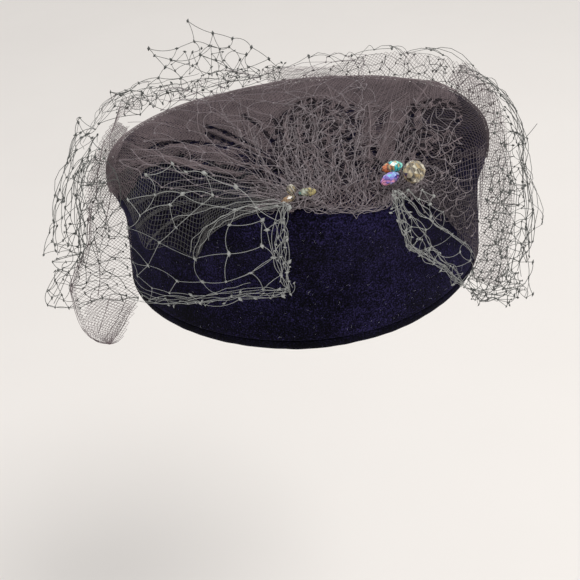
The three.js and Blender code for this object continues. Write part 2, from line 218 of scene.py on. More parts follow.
def oval(phi, half, z):
    c, s = np.cos(np.radians(phi)), np.sin(np.radians(phi))
    return np.stack([half * c * (1 + EGG * s), (half - SLIM) * s, z + 0 * half * c], -1)


def settle(P, phi):
    """Adds the rim's wave at front and back and the top's slight tilt."""
    z = P[..., 2]
    z = z + RIM_LIFT * np.sin(np.radians(phi)) ** 2 * (1 - smooth(z / LIFT_FADE))
    z = z + TOP_TILT * P[..., 1] * smooth((z - 30) / 34)
    return np.concatenate([P[..., :2], z[..., None]], -1)


_down = catmull([(z, h) for z, h in WALL_PROFILE], 8)[::-1]        # from the top edge down
_step = np.linalg.norm(np.diff(_down, axis=0), axis=1)
DOWN_S = np.concatenate([[0], np.cumsum(_step)])
DOWN_Z, DOWN_H = _down[:, 0], _down[:, 1]
_t = np.stack([np.gradient(DOWN_H, DOWN_S), np.gradient(DOWN_Z, DOWN_S)], 1)
_t /= np.linalg.norm(_t, axis=1, keepdims=True)
DOWN_NH, DOWN_NZ = -_t[:, 1], _t[:, 0]                              # outward normal of the profile


def plan(X, Y):
    """Azimuth and share of the top's radius of a point of the flat plan."""
    sy = Y / (TOP_EDGE[1] - SLIM)
    cx = X / (TOP_EDGE[1] * (1 + EGG * np.clip(sy, -1.4, 1.4)))
    return np.degrees(np.arctan2(sy, cx)), np.hypot(cx, sy)


def drape(X, Y, lift):
    """Lays points of a flat cloth over the top, round its edge and down the
    wall, lift millimetres clear of the velvet."""
    phi, f = plan(X, Y)
    R = np.hypot(TOP_EDGE[1] * np.cos(np.radians(phi)), (TOP_EDGE[1] - SLIM) * np.sin(np.radians(phi)))
    e = np.maximum(f - 1, 0) * R
    h, z = np.interp(e, DOWN_S, DOWN_H), np.interp(e, DOWN_S, DOWN_Z)
    z = z - np.maximum(e - DOWN_S[-1], 0)
    nh, nz = np.interp(e, DOWN_S, DOWN_NH), np.interp(e, DOWN_S, DOWN_NZ)
    side = oval(phi, h + lift * nh, z + lift * nz)
    flat = np.stack([X, Y, TOP_EDGE[0] + DOME * (1 - np.minimum(f, 1) ** 2) + lift], -1)
    P = np.where((f < 1)[..., None], flat, side)
    return settle(P, phi), phi, f, e


def beyond(P, out):
    """Above 1 where P is outside the oval standing out millimetres off the wall."""
    z = P[..., 2]
    h = np.interp(z, [0] + [p[0] for p in WALL_PROFILE[:9]], [85.3] + [p[1] for p in WALL_PROFILE[:9]]) + out
    s = P[..., 1] / (h - SLIM)
    return np.hypot(P[..., 0] / (h * (1 + EGG * np.clip(s, -1.3, 1.3))), s)


def on_wall(px, out, far=False):
    """Where view lines meet the oval out millimetres off the wall."""
    px = np.atleast_2d(np.asarray(px, float))
    d = ray(px)
    out = np.broadcast_to(np.asarray(out, float), (len(px),))
    ts = np.arange(200.0, 560.0, 1.5)
    g = beyond(CAM_AT + d[:, None, :] * ts[None, :, None], out[:, None]) - 1
    cross = g[:, :-1] * g[:, 1:] < 0
    hit = cross.any(1)
    k = np.where(hit, cross.shape[1] - 1 - np.argmax(cross[:, ::-1], 1) if far else np.argmax(cross, 1), np.argmin(np.abs(g), 1))
    k = np.minimum(k, len(ts) - 2)
    lo, hi = ts[k], ts[k + 1]
    glo = np.take_along_axis(g, k[:, None], 1)[:, 0]
    for _ in range(16):
        mid = (lo + hi) / 2
        gm = beyond(CAM_AT + d * mid[:, None], out) - 1
        same = (gm * glo) > 0
        lo, hi = np.where(same, mid, lo), np.where(same, hi, mid)
    return CAM_AT + d * ((lo + hi) / 2)[:, None]


def on_hat(px, lift):
    """Where view lines meet the crown, wall or top, lift millimetres clear."""
    px = np.atleast_2d(np.asarray(px, float))
    d = ray(px)
    lift = np.broadcast_to(np.asarray(lift, float), (len(px),))
    heights = [0] + [p[0] for p in WALL_PROFILE]
    halves = [85.3] + [p[1] for p in WALL_PROFILE]

    def clear(P, up):
        z = P[..., 2] - TOP_TILT * P[..., 1] * smooth((P[..., 2] - 30) / 34)
        h = np.interp(z - 0.7 * up, heights, halves) + np.where(z > 55, 0.7, 1.0) * up
        s = P[..., 1] / (h - SLIM)
        r = np.hypot(P[..., 0] / (h * (1 + EGG * np.clip(s, -1.3, 1.3))), s)
        rt = np.clip(np.hypot(P[..., 0] / TOP_EDGE[1], P[..., 1] / (TOP_EDGE[1] - SLIM)), 0, 1)
        return np.maximum((r - 1) * 80, z - TOP_EDGE[0] - DOME * (1 - rt ** 2) - up)

    ts = np.arange(220.0, 520.0, 1.5)
    g = clear(CAM_AT + d[:, None, :] * ts[None, :, None], lift[:, None])
    hit = (g < 0).any(1)
    k = np.where(hit, np.argmax(g < 0, 1), np.argmin(g, 1))
    k = np.clip(k, 1, len(ts) - 1)
    lo, hi = ts[k - 1], ts[k]
    for _ in range(14):
        mid = (lo + hi) / 2
        inside = clear(CAM_AT + d * mid[:, None], lift) < 0
        lo, hi = np.where(inside, lo, mid), np.where(inside, mid, hi)
    return CAM_AT + d * ((lo + hi) / 2)[:, None]


def hat_normal(P):
    """Outward direction of the crown near P: up on top, level on the wall."""
    n = wall_normal(P)
    f = np.hypot(P[..., 0] / TOP_EDGE[1], P[..., 1] / (TOP_EDGE[1] - SLIM))
    up = (smooth((P[..., 2] - 60) / 9) * smooth((1.06 - f) / 0.12))[..., None]
    return unit(n * (1 - up) + np.array([0, 0, 1.0]) * up)


def wall_normal(P):
    return unit(np.stack([P[..., 0] / HALF_WIDTH ** 2, P[..., 1] / HALF_DEPTH ** 2, 0 * P[..., 0]], -1))


# ------------------------------------------------------------------ veil tables
# One row is one fold line of the veil: azimuth, place on the gather, height
# halfway over the top, then shoulder, bulge and hem, each as distance beyond
# the wall and height.
NET = [
    (-108, -17, 70.6, 2.6, 63, 4.2, 50, 4.2, 37), (-122, -17, 72.6, 3.2, 66, 4.8, 50, 4.4, 31),
    (-136, -17, 73.6, 3.4, 68, 5.4, 49, 4.6, 25), (-150, -16, 74.2, 3.8, 69, 6.6, 48, 5.4, 17),
    (-162, -15, 74.6, 4.4, 70, 11, 46, 12, 10), (-172, -14, 75.2, 5.4, 72, 19, 43, 28, 5),
    (-180, -13, 75.8, 6.4, 73, 25, 40, 40, 3), (-188, -12, 76.4, 6.8, 75, 26, 44, 39, 8),
    (-197, -11, 77.0, 6.2, 76, 20, 56, 31, 20), (-206, -10, 77.2, 4.4, 78, 13, 68, 23, 40),
    (-216, -9, 77.0, 0.5, 79, 8.5, 79, 15, 63), (-227, -8, 76.4, -4, 78, 3.5, 84, 10, 83),
    (-238, -7, 75.6, -7, 77, 1.5, 85, 8, 94), (-249, -5, 75.0, -7, 76, 2, 87, 8, 101),
    (-258, -3, 74.4, -6, 74, 4, 82, 11, 91), (-269, -1, 73.8, -4, 71.5, 6, 73, 13, 71),
    (-277, 1, 73.8, -3, 71, 7, 69, 14, 60), (-288, 3, 74.4, -2, 73, 9, 73, 17, 58),
    (-299, 5, 75.2, 0, 75, 14, 73, 21, 55), (-310, 7, 76.0, 2, 76, 18, 71, 26, 48),
    (-320, 9, 76.6, 3.4, 77, 21, 67, 28, 40), (-332, 11, 76.6, 4.4, 76, 23, 60, 29, 32),
    (-346, 13, 76.2, 4.8, 74, 25, 48, 28, 21), (-357, 14, 75.6, 4.8, 72.5, 25, 40, 28, 12),
    (-368, 15, 75.0, 4.6, 71.5, 24, 34, 27, 3), (-379, 16, 74.4, 4.4, 70.5, 21, 30, 25, -4),
    (-388, 17, 73.8, 4.2, 70, 17, 30, 24, -8), (-398, 18, 73.2, 4.0, 69, 11.5, 34, 17, -3),
    (-406, 19, 72.6, 3.8, 68, 7, 38, 7.5, 8), (-415, 20, 72.0, 3.4, 67, 4.8, 44, 4.6, 20),
    (-425, 20.5, 71.2, 3.0, 66, 4.2, 51, 4.2, 37), (-435, 21, 70.6, 2.8, 65, 3.8, 58, 4.0, 52)]
PLEAT_EVERY, PLEAT_DEEP = 17.0, 2.4


class Fan:
    """A veil's middle surface, read by azimuth and by distance from the gather."""

    def __init__(self, table, gather_z):
        rows = catmull(table, 10)
        phi, gx, top, so, sz, bo, bz, ho, hz = rows.T
        fold = PLEAT_DEEP * np.sin(2 * math.pi * phi / PLEAT_EVERY)
        bo = bo + fold * 0.6 * smooth((bo - 7) / 8)
        ho = ho + fold * smooth((ho - 7) / 8)
        g = np.stack([gx, -66 + 0.006 * gx * gx, np.full_like(gx, gather_z)], 1)
        s = oval(phi, HALF_WIDTH + so, sz)
        mid = (g + s) / 2
        mid[:, 2] = top
        pts = np.stack([g, mid, s, oval(phi, HALF_WIDTH + bo, bz), oval(phi, HALF_WIDTH + ho, hz)], 1)
        self.step = 1.0
        self.d = np.arange(0, 240, self.step)
        grid, hem, shoulder = [], [], []
        for line in pts:
            c = catmull(line, 16)
            s_ = np.concatenate([[0], np.cumsum(np.linalg.norm(np.diff(c, axis=0), axis=1))])
            hem.append(s_[-1])
            shoulder.append(s_[32])
            last = unit(c[-1] - c[-3])
            p = np.stack([np.interp(self.d, s_, c[:, k]) for k in range(3)], 1)
            past = np.maximum(self.d - s_[-1], 0)[:, None]
            grid.append(p + past * last)
        self.phi = phi[::-1].copy()
        self.grid = np.array(grid)[::-1]
        self.hem_d = np.array(hem)[::-1]
        self.sh_d = np.array(shoulder)[::-1]
        du = np.gradient(self.grid, axis=0)
        dv = np.gradient(self.grid, axis=1)
        n = unit(np.cross(dv, du))
        flip = np.sign(n[len(n) // 2, 60, 2]) or 1
        self.normal = n * flip

    def _read(self, field, phi, d):
        u = np.interp(phi, self.phi, np.arange(len(self.phi)))
        v = np.clip(d / self.step, 0, len(self.d) - 1.001)
        i = np.clip(u.astype(int), 0, len(self.phi) - 2)
        j = v.astype(int)
        a, b = (u - i)[..., None], (v - j)[..., None]
        F = field
        return (F[i, j] * (1 - a) + F[i + 1, j] * a) * (1 - b) + (F[i, j + 1] * (1 - a) + F[i + 1, j + 1] * a) * b

    def at(self, phi, d, off=0.0):
        phi, d = np.broadcast_arrays(np.asarray(phi, float), np.asarray(d, float))
        n = unit(self._read(self.normal, phi, d))
        return self._read(self.grid, phi, d) + n * np.asarray(off, float)[..., None] if np.ndim(off) else self._read(self.grid, phi, d) + n * off

    def n(self, phi, d):
        return unit(self._read(self.normal, np.asarray(phi, float), np.asarray(d, float)))

    def hem(self, phi):
        return np.interp(phi, self.phi, self.hem_d)

    def shoulder(self, phi):
        return np.interp(phi, self.phi, self.sh_d)


def upright(az, at_half=86.0):
    """Sets frame positions in the upright plane that runs out from the wall at
    an azimuth; a push moves them across that plane."""
    a = math.radians(az)
    n = np.array([-math.sin(a), math.cos(a), 0.0])
    base = oval(np.array(float(az)), at_half, 0.0)

    def place(px, push=0.0):
        d = ray(px)
        t = ((base - CAM_AT) @ n + np.asarray(push, float)) / (d @ n)
        return CAM_AT + d * t[:, None]

    return place


def right_side(px, push=0.0):
    """The edge of the right fall: it comes lower and further to the front
    as it goes down."""
    px = np.atleast_2d(np.asarray(px, float))
    d = ray(px)
    z = np.interp(px[:, 1], [55, 80, 100, 150, 200, 250, 290, 310], [74, 67, 62, 47, 29, 12, -1, -6])
    z = z + 0.62 * np.broadcast_to(np.asarray(push, float), (len(px),))
    return CAM_AT + d * ((z - CAM_AT[2]) / d[:, 2])[:, None]


def left_outline(y):
    return np.interp(y, [150, 175, 200, 225, 250, 280, 308], [84, 74, 65, 62, 52, 46, 46])


def left_side(deep):
    """The left billow: a front or a back layer that part towards the crown."""
    flat = upright(175)

    def place(px, push=0.0):
        px = np.atleast_2d(np.asarray(px, float))
        x0 = left_outline(px[:, 1])
        return flat(px, push + deep * smooth((px[:, 0] - x0) / (132 - x0)))

    return place


net_fan = Fan(NET, 72.5)


# ------------------------------------------------------------------ materials
def material(name, colour, roughness=0.8, sheen=0.0, sheen_tint=(1, 1, 1), sheen_rough=0.4):
    m = bpy.data.materials.new(name)
    m.use_nodes = True
    nt = m.node_tree
    b = nt.nodes["Principled BSDF"]
    b.inputs["Base Color"].default_value = (*colour, 1)
    b.inputs["Roughness"].default_value = roughness
    b.inputs["Sheen Weight"].default_value = sheen
    b.inputs["Sheen Roughness"].default_value = sheen_rough
    b.inputs["Sheen Tint"].default_value = (*sheen_tint, 1)
    b.inputs["Specular IOR Level"].default_value = 0.12
    return m, nt, b


def noise_node(nt, scale, detail=4, rough=0.6, coord="Object"):
    tc = nt.nodes.new("ShaderNodeTexCoord")
    n = nt.nodes.new("ShaderNodeTexNoise")
    n.inputs["Scale"].default_value = scale
    n.inputs["Detail"].default_value = detail
    n.inputs["Roughness"].default_value = rough
    nt.links.new(tc.outputs[coord], n.inputs["Vector"])
    return n


def ramp_node(nt, stops):
    r = nt.nodes.new("ShaderNodeValToRGB")
    while len(r.color_ramp.elements) < len(stops):
        r.color_ramp.elements.new(0.5)
    for el, (p, c) in zip(r.color_ramp.elements, stops):
        el.position, el.color = p, (*c, 1)
    return r


def velvet(name, dark, light, sheen):
    """Short-napped velvet: a speckle of pile over broad brushed patches."""
    m, nt, b = material(name, light, 0.95, sheen, (0.45, 0.45, 0.85), 0.35)
    b.inputs["Specular IOR Level"].default_value = 0.08
    total = None
    for scale, detail, weight in ((22, 4, 0.46), (210, 3, 0.12), (1500, 2, 0.86)):
        n = noise_node(nt, scale, detail, 0.65)
        part = nt.nodes.new("ShaderNodeMath"); part.operation = "MULTIPLY_ADD"
        nt.links.new(n.outputs["Fac"], part.inputs[0])
        part.inputs[1].default_value = weight
        part.inputs[2].default_value = 0.0
        if total is not None:
            nt.links.new(total.outputs[0], part.inputs[2])
        total, fine = part, n
    r = ramp_node(nt, [(0.63, dark), (0.76, tuple(0.42 * (x + y) for x, y in zip(dark, light))), (0.86, tuple(1.6 * y for y in light))])
    nt.links.new(total.outputs[0], r.inputs["Fac"])
    nt.links.new(r.outputs["Color"], b.inputs["Base Color"])
    bump = nt.nodes.new("ShaderNodeBump")
    bump.inputs["Strength"].default_value = 0.5
    bump.inputs["Distance"].default_value = 0.0004
    nt.links.new(fine.outputs["Fac"], bump.inputs["Height"])
    nt.links.new(bump.outputs["Normal"], b.inputs["Normal"])
    return m


def strand_material(name, a, bcol, rough=0.7, scale=260):
    m, nt, b = material(name, a, rough, 0.05, (0.8, 0.8, 0.85), 0.5)
    n = noise_node(nt, scale, 3)
    r = ramp_node(nt, [(0.3, a), (0.7, bcol)])
    nt.links.new(n.outputs["Fac"], r.inputs["Fac"])
    nt.links.new(r.outputs["Color"], b.inputs["Base Color"])
    bump = nt.nodes.new("ShaderNodeBump")
    bump.inputs["Strength"].default_value = 0.4
    bump.inputs["Distance"].default_value = 0.0001
    fine = noise_node(nt, 3000, 2)
    nt.links.new(fine.outputs["Fac"], bump.inputs["Height"])
    nt.links.new(bump.outputs["Normal"], b.inputs["Normal"])
    return m


def glass(name, stops, at, across, size, transmission, rough=0.03, spread=0.55):
    """Cut glass whose colour changes along the bead and with each facet: the glass's and its coat's own colours, with
    painted glints and painted dark reflections on the facets.
    """
    m, nt, b = material(name, stops[0][1], rough)
    b.inputs["Transmission Weight"].default_value = transmission
    b.inputs["IOR"].default_value = 1.56
    b.inputs["Specular IOR Level"].default_value = 0.5
    b.inputs["Coat Weight"].default_value = 0.8
    b.inputs["Coat Roughness"].default_value = 0.02
    tc = nt.nodes.new("ShaderNodeTexCoord")
    along = nt.nodes.new("ShaderNodeVectorMath"); along.operation = "DOT_PRODUCT"
    nt.links.new(tc.outputs["Object"], along.inputs[0])
    d = unit(np.array(across, float)) / (2 * size * MM)
    along.inputs[1].default_value = tuple(d)
    shift = nt.nodes.new("ShaderNodeMath"); shift.operation = "SUBTRACT"
    nt.links.new(along.outputs["Value"], shift.inputs[0])
    shift.inputs[1].default_value = float(d @ (np.array(at) * MM)) - 0.5
    geo = nt.nodes.new("ShaderNodeNewGeometry")
    grow = nt.nodes.new("ShaderNodeVectorMath"); grow.operation = "SCALE"
    nt.links.new(geo.outputs["True Normal"], grow.inputs[0])
    grow.inputs["Scale"].default_value = 3.7
    rnd = nt.nodes.new("ShaderNodeTexNoise")
    rnd.inputs["Scale"].default_value = 4.0
    rnd.inputs["Detail"].default_value = 3
    nt.links.new(grow.outputs["Vector"], rnd.inputs["Vector"])
    a = nt.nodes.new("ShaderNodeMath"); a.operation = "MULTIPLY_ADD"
    nt.links.new(rnd.outputs["Fac"], a.inputs[0])
    a.inputs[1].default_value = 2.2 * spread
    a.inputs[2].default_value = -1.1 * spread
    c = nt.nodes.new("ShaderNodeMath"); c.operation = "ADD"
    nt.links.new(shift.outputs[0], c.inputs[0])
    nt.links.new(a.outputs[0], c.inputs[1])
    r = ramp_node(nt, stops)
    nt.links.new(c.outputs[0], r.inputs["Fac"])
    nt.links.new(r.outputs["Color"], b.inputs["Base Color"])
    return m


M_VELVET = velvet("velvet_navy", (0.0003, 0.0002, 0.0012), (0.0120, 0.0095, 0.0370), 0.036)
# The hem roll's velvet is the crown's velvet made darker: painted shade on the turned-under edge.
M_HEM_SHADED = velvet("velvet_hem", (0.0002, 0.0002, 0.0008), (0.0052, 0.0042, 0.0150), 0.028)
M_TULLE = strand_material("tulle_thread", (0.151, 0.120, 0.128), (0.218, 0.173, 0.183), 0.85, 90)
# The lowest tulle layer has darker threads than the layers over it: painted shade under the upper layers.
M_TULLE_SHADED_BELOW = strand_material("tulle_thread_below_painted_shade", (0.064, 0.051, 0.056), (0.100, 0.080, 0.086), 0.85, 90)
M_TULLE_LIGHT = strand_material("tulle_thread_light", (0.185, 0.148, 0.157), (0.262, 0.212, 0.223), 0.85, 120)
M_TULLE_DIM = strand_material("tulle_thread_dim", (0.102, 0.085, 0.094), (0.164, 0.138, 0.150), 0.85, 120)
M_TULLE_COOL = strand_material("tulle_thread_cool", (0.084, 0.082, 0.082), (0.138, 0.135, 0.134), 0.8, 120)
# One net, two copies: the front flaps' thread is lightened as painted light, and the thread of the falls and the back
# edge is darkened as painted shade.
M_NET_LIT = strand_material("net_thread_lit", (0.270, 0.278, 0.268), (0.410, 0.418, 0.404), 0.65, 200)
M_NET_SHADE = strand_material("net_thread_shade", (0.078, 0.083, 0.079), (0.140, 0.146, 0.140), 0.65, 200)
M_NET_TOP = strand_material("net_thread_top", (0.200, 0.172, 0.183), (0.292, 0.256, 0.271), 0.7, 200)
M_LINT = strand_material("lint", (0.22, 0.22, 0.28), (0.42, 0.42, 0.50), 0.9)


# ------------------------------------------------------------------ crown
def build_crown():
    phi = np.arange(0, 360, 1.5)
    seam = 271.6
    phi = np.unique(np.concatenate([phi[np.abs(phi - seam) > 1.6], seam + np.linspace(-1.5, 1.5, 15)]))
    wall = catmull([(h, h - SLIM, z, 1.0) for z, h in WALL_PROFILE], 6)
    top = [(TOP_EDGE[1] * f, (TOP_EDGE[1] - SLIM) * f, TOP_EDGE[0] + DOME * (1 - f * f), f) for f in (0.93, 0.82, 0.7, 0.57, 0.44, 0.31, 0.18, 0.07)]
    rows = np.concatenate([wall, top])
    c, s = np.cos(np.radians(phi))[None], np.sin(np.radians(phi))[None]

    def shell(rows, inset):
        h, d, z, f = (rows[:, k][:, None] for k in range(4))
        tz, th = np.gradient(rows[:, 2])[:, None], np.gradient(rows[:, 0])[:, None]
        ln = np.hypot(tz, th)
        nh, nz = tz / ln, -th / ln
        near = np.abs((phi[None] - seam)) * 1.28     # millimetres from the seam, about
        wallness = smooth((z - 6) / 3) * (1 - smooth((z - 60) / 6))
        bump = 0
        if inset == 0:
            bump = wallness * (-0.22 * np.exp(-(near / 0.6) ** 2) + 0.10 * np.exp(-((near - 1.2) / 0.6) ** 2))
            bump = bump + 0.30 * wave_noise(phi[None] * 1.5, z * 1.3, 3, 46) * smooth((z - 8) / 10) * (f > 0.99)
            bump = bump + 0.18 * wave_noise(phi[None] * 1.5, z * 1.3, 4, 17) * smooth((z - 8) / 10) * (f > 0.99)
        off = bump - inset
        hh, dd, zz = h + off * nh, d + off * nh, z + off * nz
        P = np.stack([hh * c * (1 + EGG * s * f), dd * s + 0 * c, zz + 0 * c], -1)
        return settle(P, phi[None])

    outer, inner = shell(rows, 0), shell(rows[::3], WALL)
    inner[0, :, 2] = outer[0, :, 2]
    soup = Soup()
    grid = np.concatenate([inner[::-1], outer])
    nr, nc = grid.shape[:2]
    idx = np.arange(nr * nc).reshape(nr, nc)
    nxt = np.roll(idx, -1, axis=1)
    q = np.stack([idx[:-1], nxt[:-1], nxt[1:], idx[1:]], -1).reshape(-1, 4)
    V = grid.reshape(-1, 3)
    pole_in = V[:nc].mean(0) + [0, 0, 0.02]
    pole_out = V[-nc:].mean(0) + [0, 0, 0.02]
    V = np.concatenate([V, [pole_in, pole_out]])
    k = nr * nc
    t = np.concatenate([
        np.stack([np.full(nc, k), nxt[0], idx[0]], 1),
        np.stack([np.full(nc, k + 1), idx[-1], nxt[-1]], 1)])
    soup.add(V, q, t)
    return soup.piece("velvet_crown", M_VELVET, "velvet", replaces=("crown",))


HEM_SECTION = [  # offset from the wall's outside, height
    (0.15, 4.9), (0.3, 3.6), (0.1, 2.2), (-0.8, 0.8), (-2.3, 0.05), (-3.8, 0.35), (-4.6, 1.5), (-4.8, 3.2),
    (-4.7, 8), (-4.55, 14.8), (-4.2, 15.8), (-3.6, 15.8), (-3.2, 15.0), (-3.1, 8.5), (-2.95, 6.1), (-2.4, 5.55), (-1.2, 5.5), (-0.3, 5.45)]


def build_hem():
    phi = np.arange(0, 360, 1.25)
    sec = np.array(HEM_SECTION + HEM_SECTION[:1])
    sec = catmull(np.concatenate([sec[-2:-1], sec, sec[1:2]]), 3)[3:-3]
    sec = sec[:-1]
    base = np.interp(sec[:, 1], [0] + [p[0] for p in WALL_PROFILE], [85.3] + [p[1] for p in WALL_PROFILE])
    half = base[:, None] + sec[:, :1] * 1.0 + 0 * phi[None]
    rough = wave_noise(phi[None] * 1.5, sec[:, 1:2] * 2, 9, 13) * 0.16 + wave_noise(phi[None] * 1.5, sec[:, 1:2], 10, 60) * 0.2
    low = (1 - smooth((sec[:, 1:2] - 5) / 2)) * (sec[:, :1] > -4.5)
    z = sec[:, 1:2] + rough * low * 0.8
    P = settle(oval(phi[None], half, z), phi[None])
    nr, nc = P.shape[:2]
    idx = np.arange(nr * nc).reshape(nr, nc)
    nxt = np.roll(idx, -1, axis=1)
    up, upn = np.roll(idx, -1, axis=0), np.roll(nxt, -1, axis=0)
    q = np.stack([idx, up, upn, nxt], -1).reshape(-1, 4)
    soup = Soup()
    soup.add(P, q)
    # the darker hem velvet is painted shade where the edge turns under
    return soup.piece("velvet_hem_roll", M_HEM_SHADED, "velvet_hem", replaces=("turned_hem",))


def build_lint():
    g = np.random.default_rng(41)
    soup = Soup()
    n = 260
    phi = g.uniform(-170, -15, n)
    z = g.uniform(7, 60, n)
    length = g.gamma(1.2, 0.5, n) + 0.14
    length[:5] = (4.5, 3.5, 3, 5, 2.6)
    h = np.interp(z, [p[0] for p in WALL_PROFILE], [p[1] for p in WALL_PROFILE])
    at = settle(oval(phi, h + 0.25, z), phi)
    nrm = wall_normal(at)
    across = unit(np.cross(nrm, [0, 0, 1.0]))
    ang = g.uniform(0, math.pi, n)
    d = across * np.cos(ang)[:, None] + np.array([0, 0, 1.0]) * np.sin(ang)[:, None]
    t = np.linspace(-0.5, 0.5, 5)
    bow = np.cross(nrm, d) * (g.normal(0, 0.22, n) * length)[:, None]
    P = at[:, None] + d[:, None] * (t[None, :, None] * length[:, None, None]) + bow[:, None] * (0.25 - t ** 2)[None, :, None] * 4
    P = P + nrm[:, None] * 0.12
    tubes(soup, P, nrm[:, None], g.uniform(0.022, 0.042, n)[:, None], 3)
    return soup.piece("velvet_lint", M_LINT, "velvet")


# ------------------------------------------------------------------ tulle


def ridges(X, Y, seed=5, count=30):
    """Height of the pleats that run out from the gather."""
    g = np.random.default_rng(seed)
    gx = np.clip(X * 0.3, -17, 20)
    th = np.degrees(np.arctan2(X - gx, Y + 71))
    r = np.hypot(X - gx, Y + 69)
    out = 0
    for k in range(count):
        a = -112 + 224 * (k + g.uniform(0.1, 0.9)) / count
        w, hgt, curl = g.uniform(1.6, 3.6), g.uniform(0.5, 1.0), g.uniform(-0.10, 0.10)
        out = out + hgt * np.exp(-(((th - a - curl * r) / w) ** 2))
    return out * (r / 34) * np.exp(1 - r / 34) * smooth(r / 6)


def lattice(soup, P, mask, radius):
    """Threads both ways through a grid of points; returns their length."""
    N = unit(np.cross(np.gradient(P, axis=0), np.gradient(P, axis=1)))
    tubes(soup, P, N, radius, 3, mask[:, :-1] & mask[:, 1:], caps=False)
    Pt, Nt, Mt = P.transpose(1, 0, 2), N.transpose(1, 0, 2), mask.T
    tubes(soup, Pt, Nt, radius, 3, Mt[:, :-1] & Mt[:, 1:], caps=False)
    a = np.linalg.norm(np.diff(P, axis=1), axis=-1)[mask[:, :-1] & mask[:, 1:]].sum()
    return a + np.linalg.norm(np.diff(Pt, axis=1), axis=-1)[Mt[:, :-1] & Mt[:, 1:]].sum()


def gather_warp(X, Y, amount):
    """Draws a flat cloth together into folds that run out from the gather."""
    gx = np.clip(X * 0.3, -17, 20)
    r = np.hypot(X - gx, Y + 69)
    th = np.arctan2(X - gx, Y + 69)
    w = amount * smooth(r / 12) * (0.35 + 0.65 * np.exp(-np.maximum(r - 60, 0) / 70))
    th = th + w * (0.040 * np.sin(15 * th + 0.9 + 0.012 * r) + 0.022 * np.sin(33 * th + 2.1 - 0.016 * r) + 0.011 * np.sin(71 * th + 0.3 + 0.02 * r))
    return gx + r * np.sin(th), -69 + r * np.cos(th)


CELL = 1.6
THREAD = 0.125
FINE_CELL, FINE_THREAD = 1.35, 0.105
HUNG_CELL, HUNG_THREAD = 1.25, 0.090
OPEN_CELL, OPEN_THREAD = 1.55, 0.112
tulle_pieces = []


def tulle_piece(soup, name, length, cell, held, shape, mat=None):
    """Keeps a tulle piece with the size of cloth that its threads make up."""
    o = soup.piece(name, mat or M_TULLE, "tulle")
    area = length * cell / 2 * MM * MM
    k = math.sqrt(area / (0.8 * shape[0] * shape[1]))
    wide = max(shape[0] * k, 0.012)
    tulle_pieces.append((o, (round(wide, 4), round(area / 0.8 / wide, 4)), area, held, soup.triangles()))
    return o



def tulle_sheet(name, centre, size, angle, keep, lift, seed, cell=CELL, radius=THREAD, held="gathered", folds=1.0, mat=None):
    g = np.random.default_rng(seed)
    s = np.arange(-size[0] / 2, size[0] / 2 + 0.01, cell)
    t = np.arange(-size[1] / 2, size[1] / 2 + 0.01, cell)
    S, T = np.meshgrid(s, t, indexing="ij")
    S = S + 1.3 * wave_noise(S, T, seed + 1, 50) + g.normal(0, 0.05, S.shape)
    T = T + 1.3 * wave_noise(S, T, seed + 2, 50) + g.normal(0, 0.05, S.shape)
    a = math.radians(angle)
    X, Y = centre[0] + S * math.cos(a) - T * math.sin(a), centre[1] + S * math.sin(a) + T * math.cos(a)
    X, Y = gather_warp(X, Y, folds)
    P, phi, f, e = drape(X, Y, lift(X, Y))
    mask = keep(X, Y, phi, f, e, P)
    rows, cols = np.where(mask.any(1))[0], np.where(mask.any(0))[0]
    P, mask = P[rows[0]:rows[-1] + 1, cols[0]:cols[-1] + 1], mask[rows[0]:rows[-1] + 1, cols[0]:cols[-1] + 1]
    soup = Soup()
    length = lattice(soup, P, mask, radius)
    return tulle_piece(soup, name, length, cell, held, (mask.shape[0] * cell * MM, mask.shape[1] * cell * MM), mat)


def edge_upper(phi):
    """Lower edge of the denser layers, higher up the same wall."""
    return np.interp(phi, [-181, -170, -160, -150, -139, -130, -120, -104], [54, 57, 62, 64.5, 65.5, 66.5, 67.5, 68.5])


def edge_right(phi):
    return np.interp(phi, [-80, -70, -65, -58, -47, -37, -20, 0, 20], [69, 66, 59, 50, 35, 16, 10, 18, 30])


def keep_main(left=True, right=True, back=8, top_only=False, y_front=-66.5, higher=0.0):
    def keep(X, Y, phi, f, e, P):
        z = P[..., 2]
        ok = f < 1.0
        if not top_only:
            ph = np.where(phi > 90, phi - 360, phi)
            if left:
                ok = ok | ((ph > -181) & (ph < -104) & (z > edge_upper(ph) + higher) & (f >= 1))
            if right:
                ok = ok | ((phi > -80) & (phi < 20) & (z > np.maximum(edge_right(phi), 52 + 14 * smooth((-phi - 10) / 50))) & (f >= 1))
            ok = ok | ((phi > 15) & (e < back) & (f >= 1)) | ((phi < -175) & (e < back)) | ((phi > 150) & (e < back + 12))
        ok = ok & (Y > y_front - 0.004 * X * X)
        return ok & (z > -20)
    return keep


# The deep folds of the gathered tulle: lines in the frame and half their width.
VALLEYS = [
    ([(284, 172), (266, 161), (250, 152), (225, 141), (206, 133)], 2.3), ([(276, 160), (258, 149), (242, 140), (220, 130), (206, 126)], 1.7),
    ([(300, 181), (284, 174), (264, 164), (240, 155)], 1.8), ([(228, 148), (208, 144), (190, 142), (168, 143), (150, 148)], 2.2),
    ([(258, 172), (236, 169), (212, 165), (192, 158), (176, 156)], 1.9), ([(284, 186), (268, 178), (250, 172)], 1.6),
    ([(282, 150), (268, 136), (256, 124), (244, 116)], 1.5), ([(300, 168), (290, 150), (282, 134), (274, 118)], 1.5),
    ([(340, 176), (338, 158), (344, 138), (350, 118), (352, 106)], 1.8), ([(352, 180), (356, 160), (352, 140), (360, 122)], 1.5),
    ([(378, 172), (374, 150), (378, 128), (386, 112)], 1.5), ([(396, 152), (400, 136), (410, 120), (414, 104)], 1.7),
    ([(420, 176), (436, 170), (452, 160), (464, 146)], 2.0), ([(428, 160), (440, 146), (452, 134), (458, 120)], 1.8),
    ([(322, 190), (332, 178), (330, 162), (322, 148)], 1.5), ([(440, 186), (456, 182), (468, 170), (474, 158)], 2.0)]
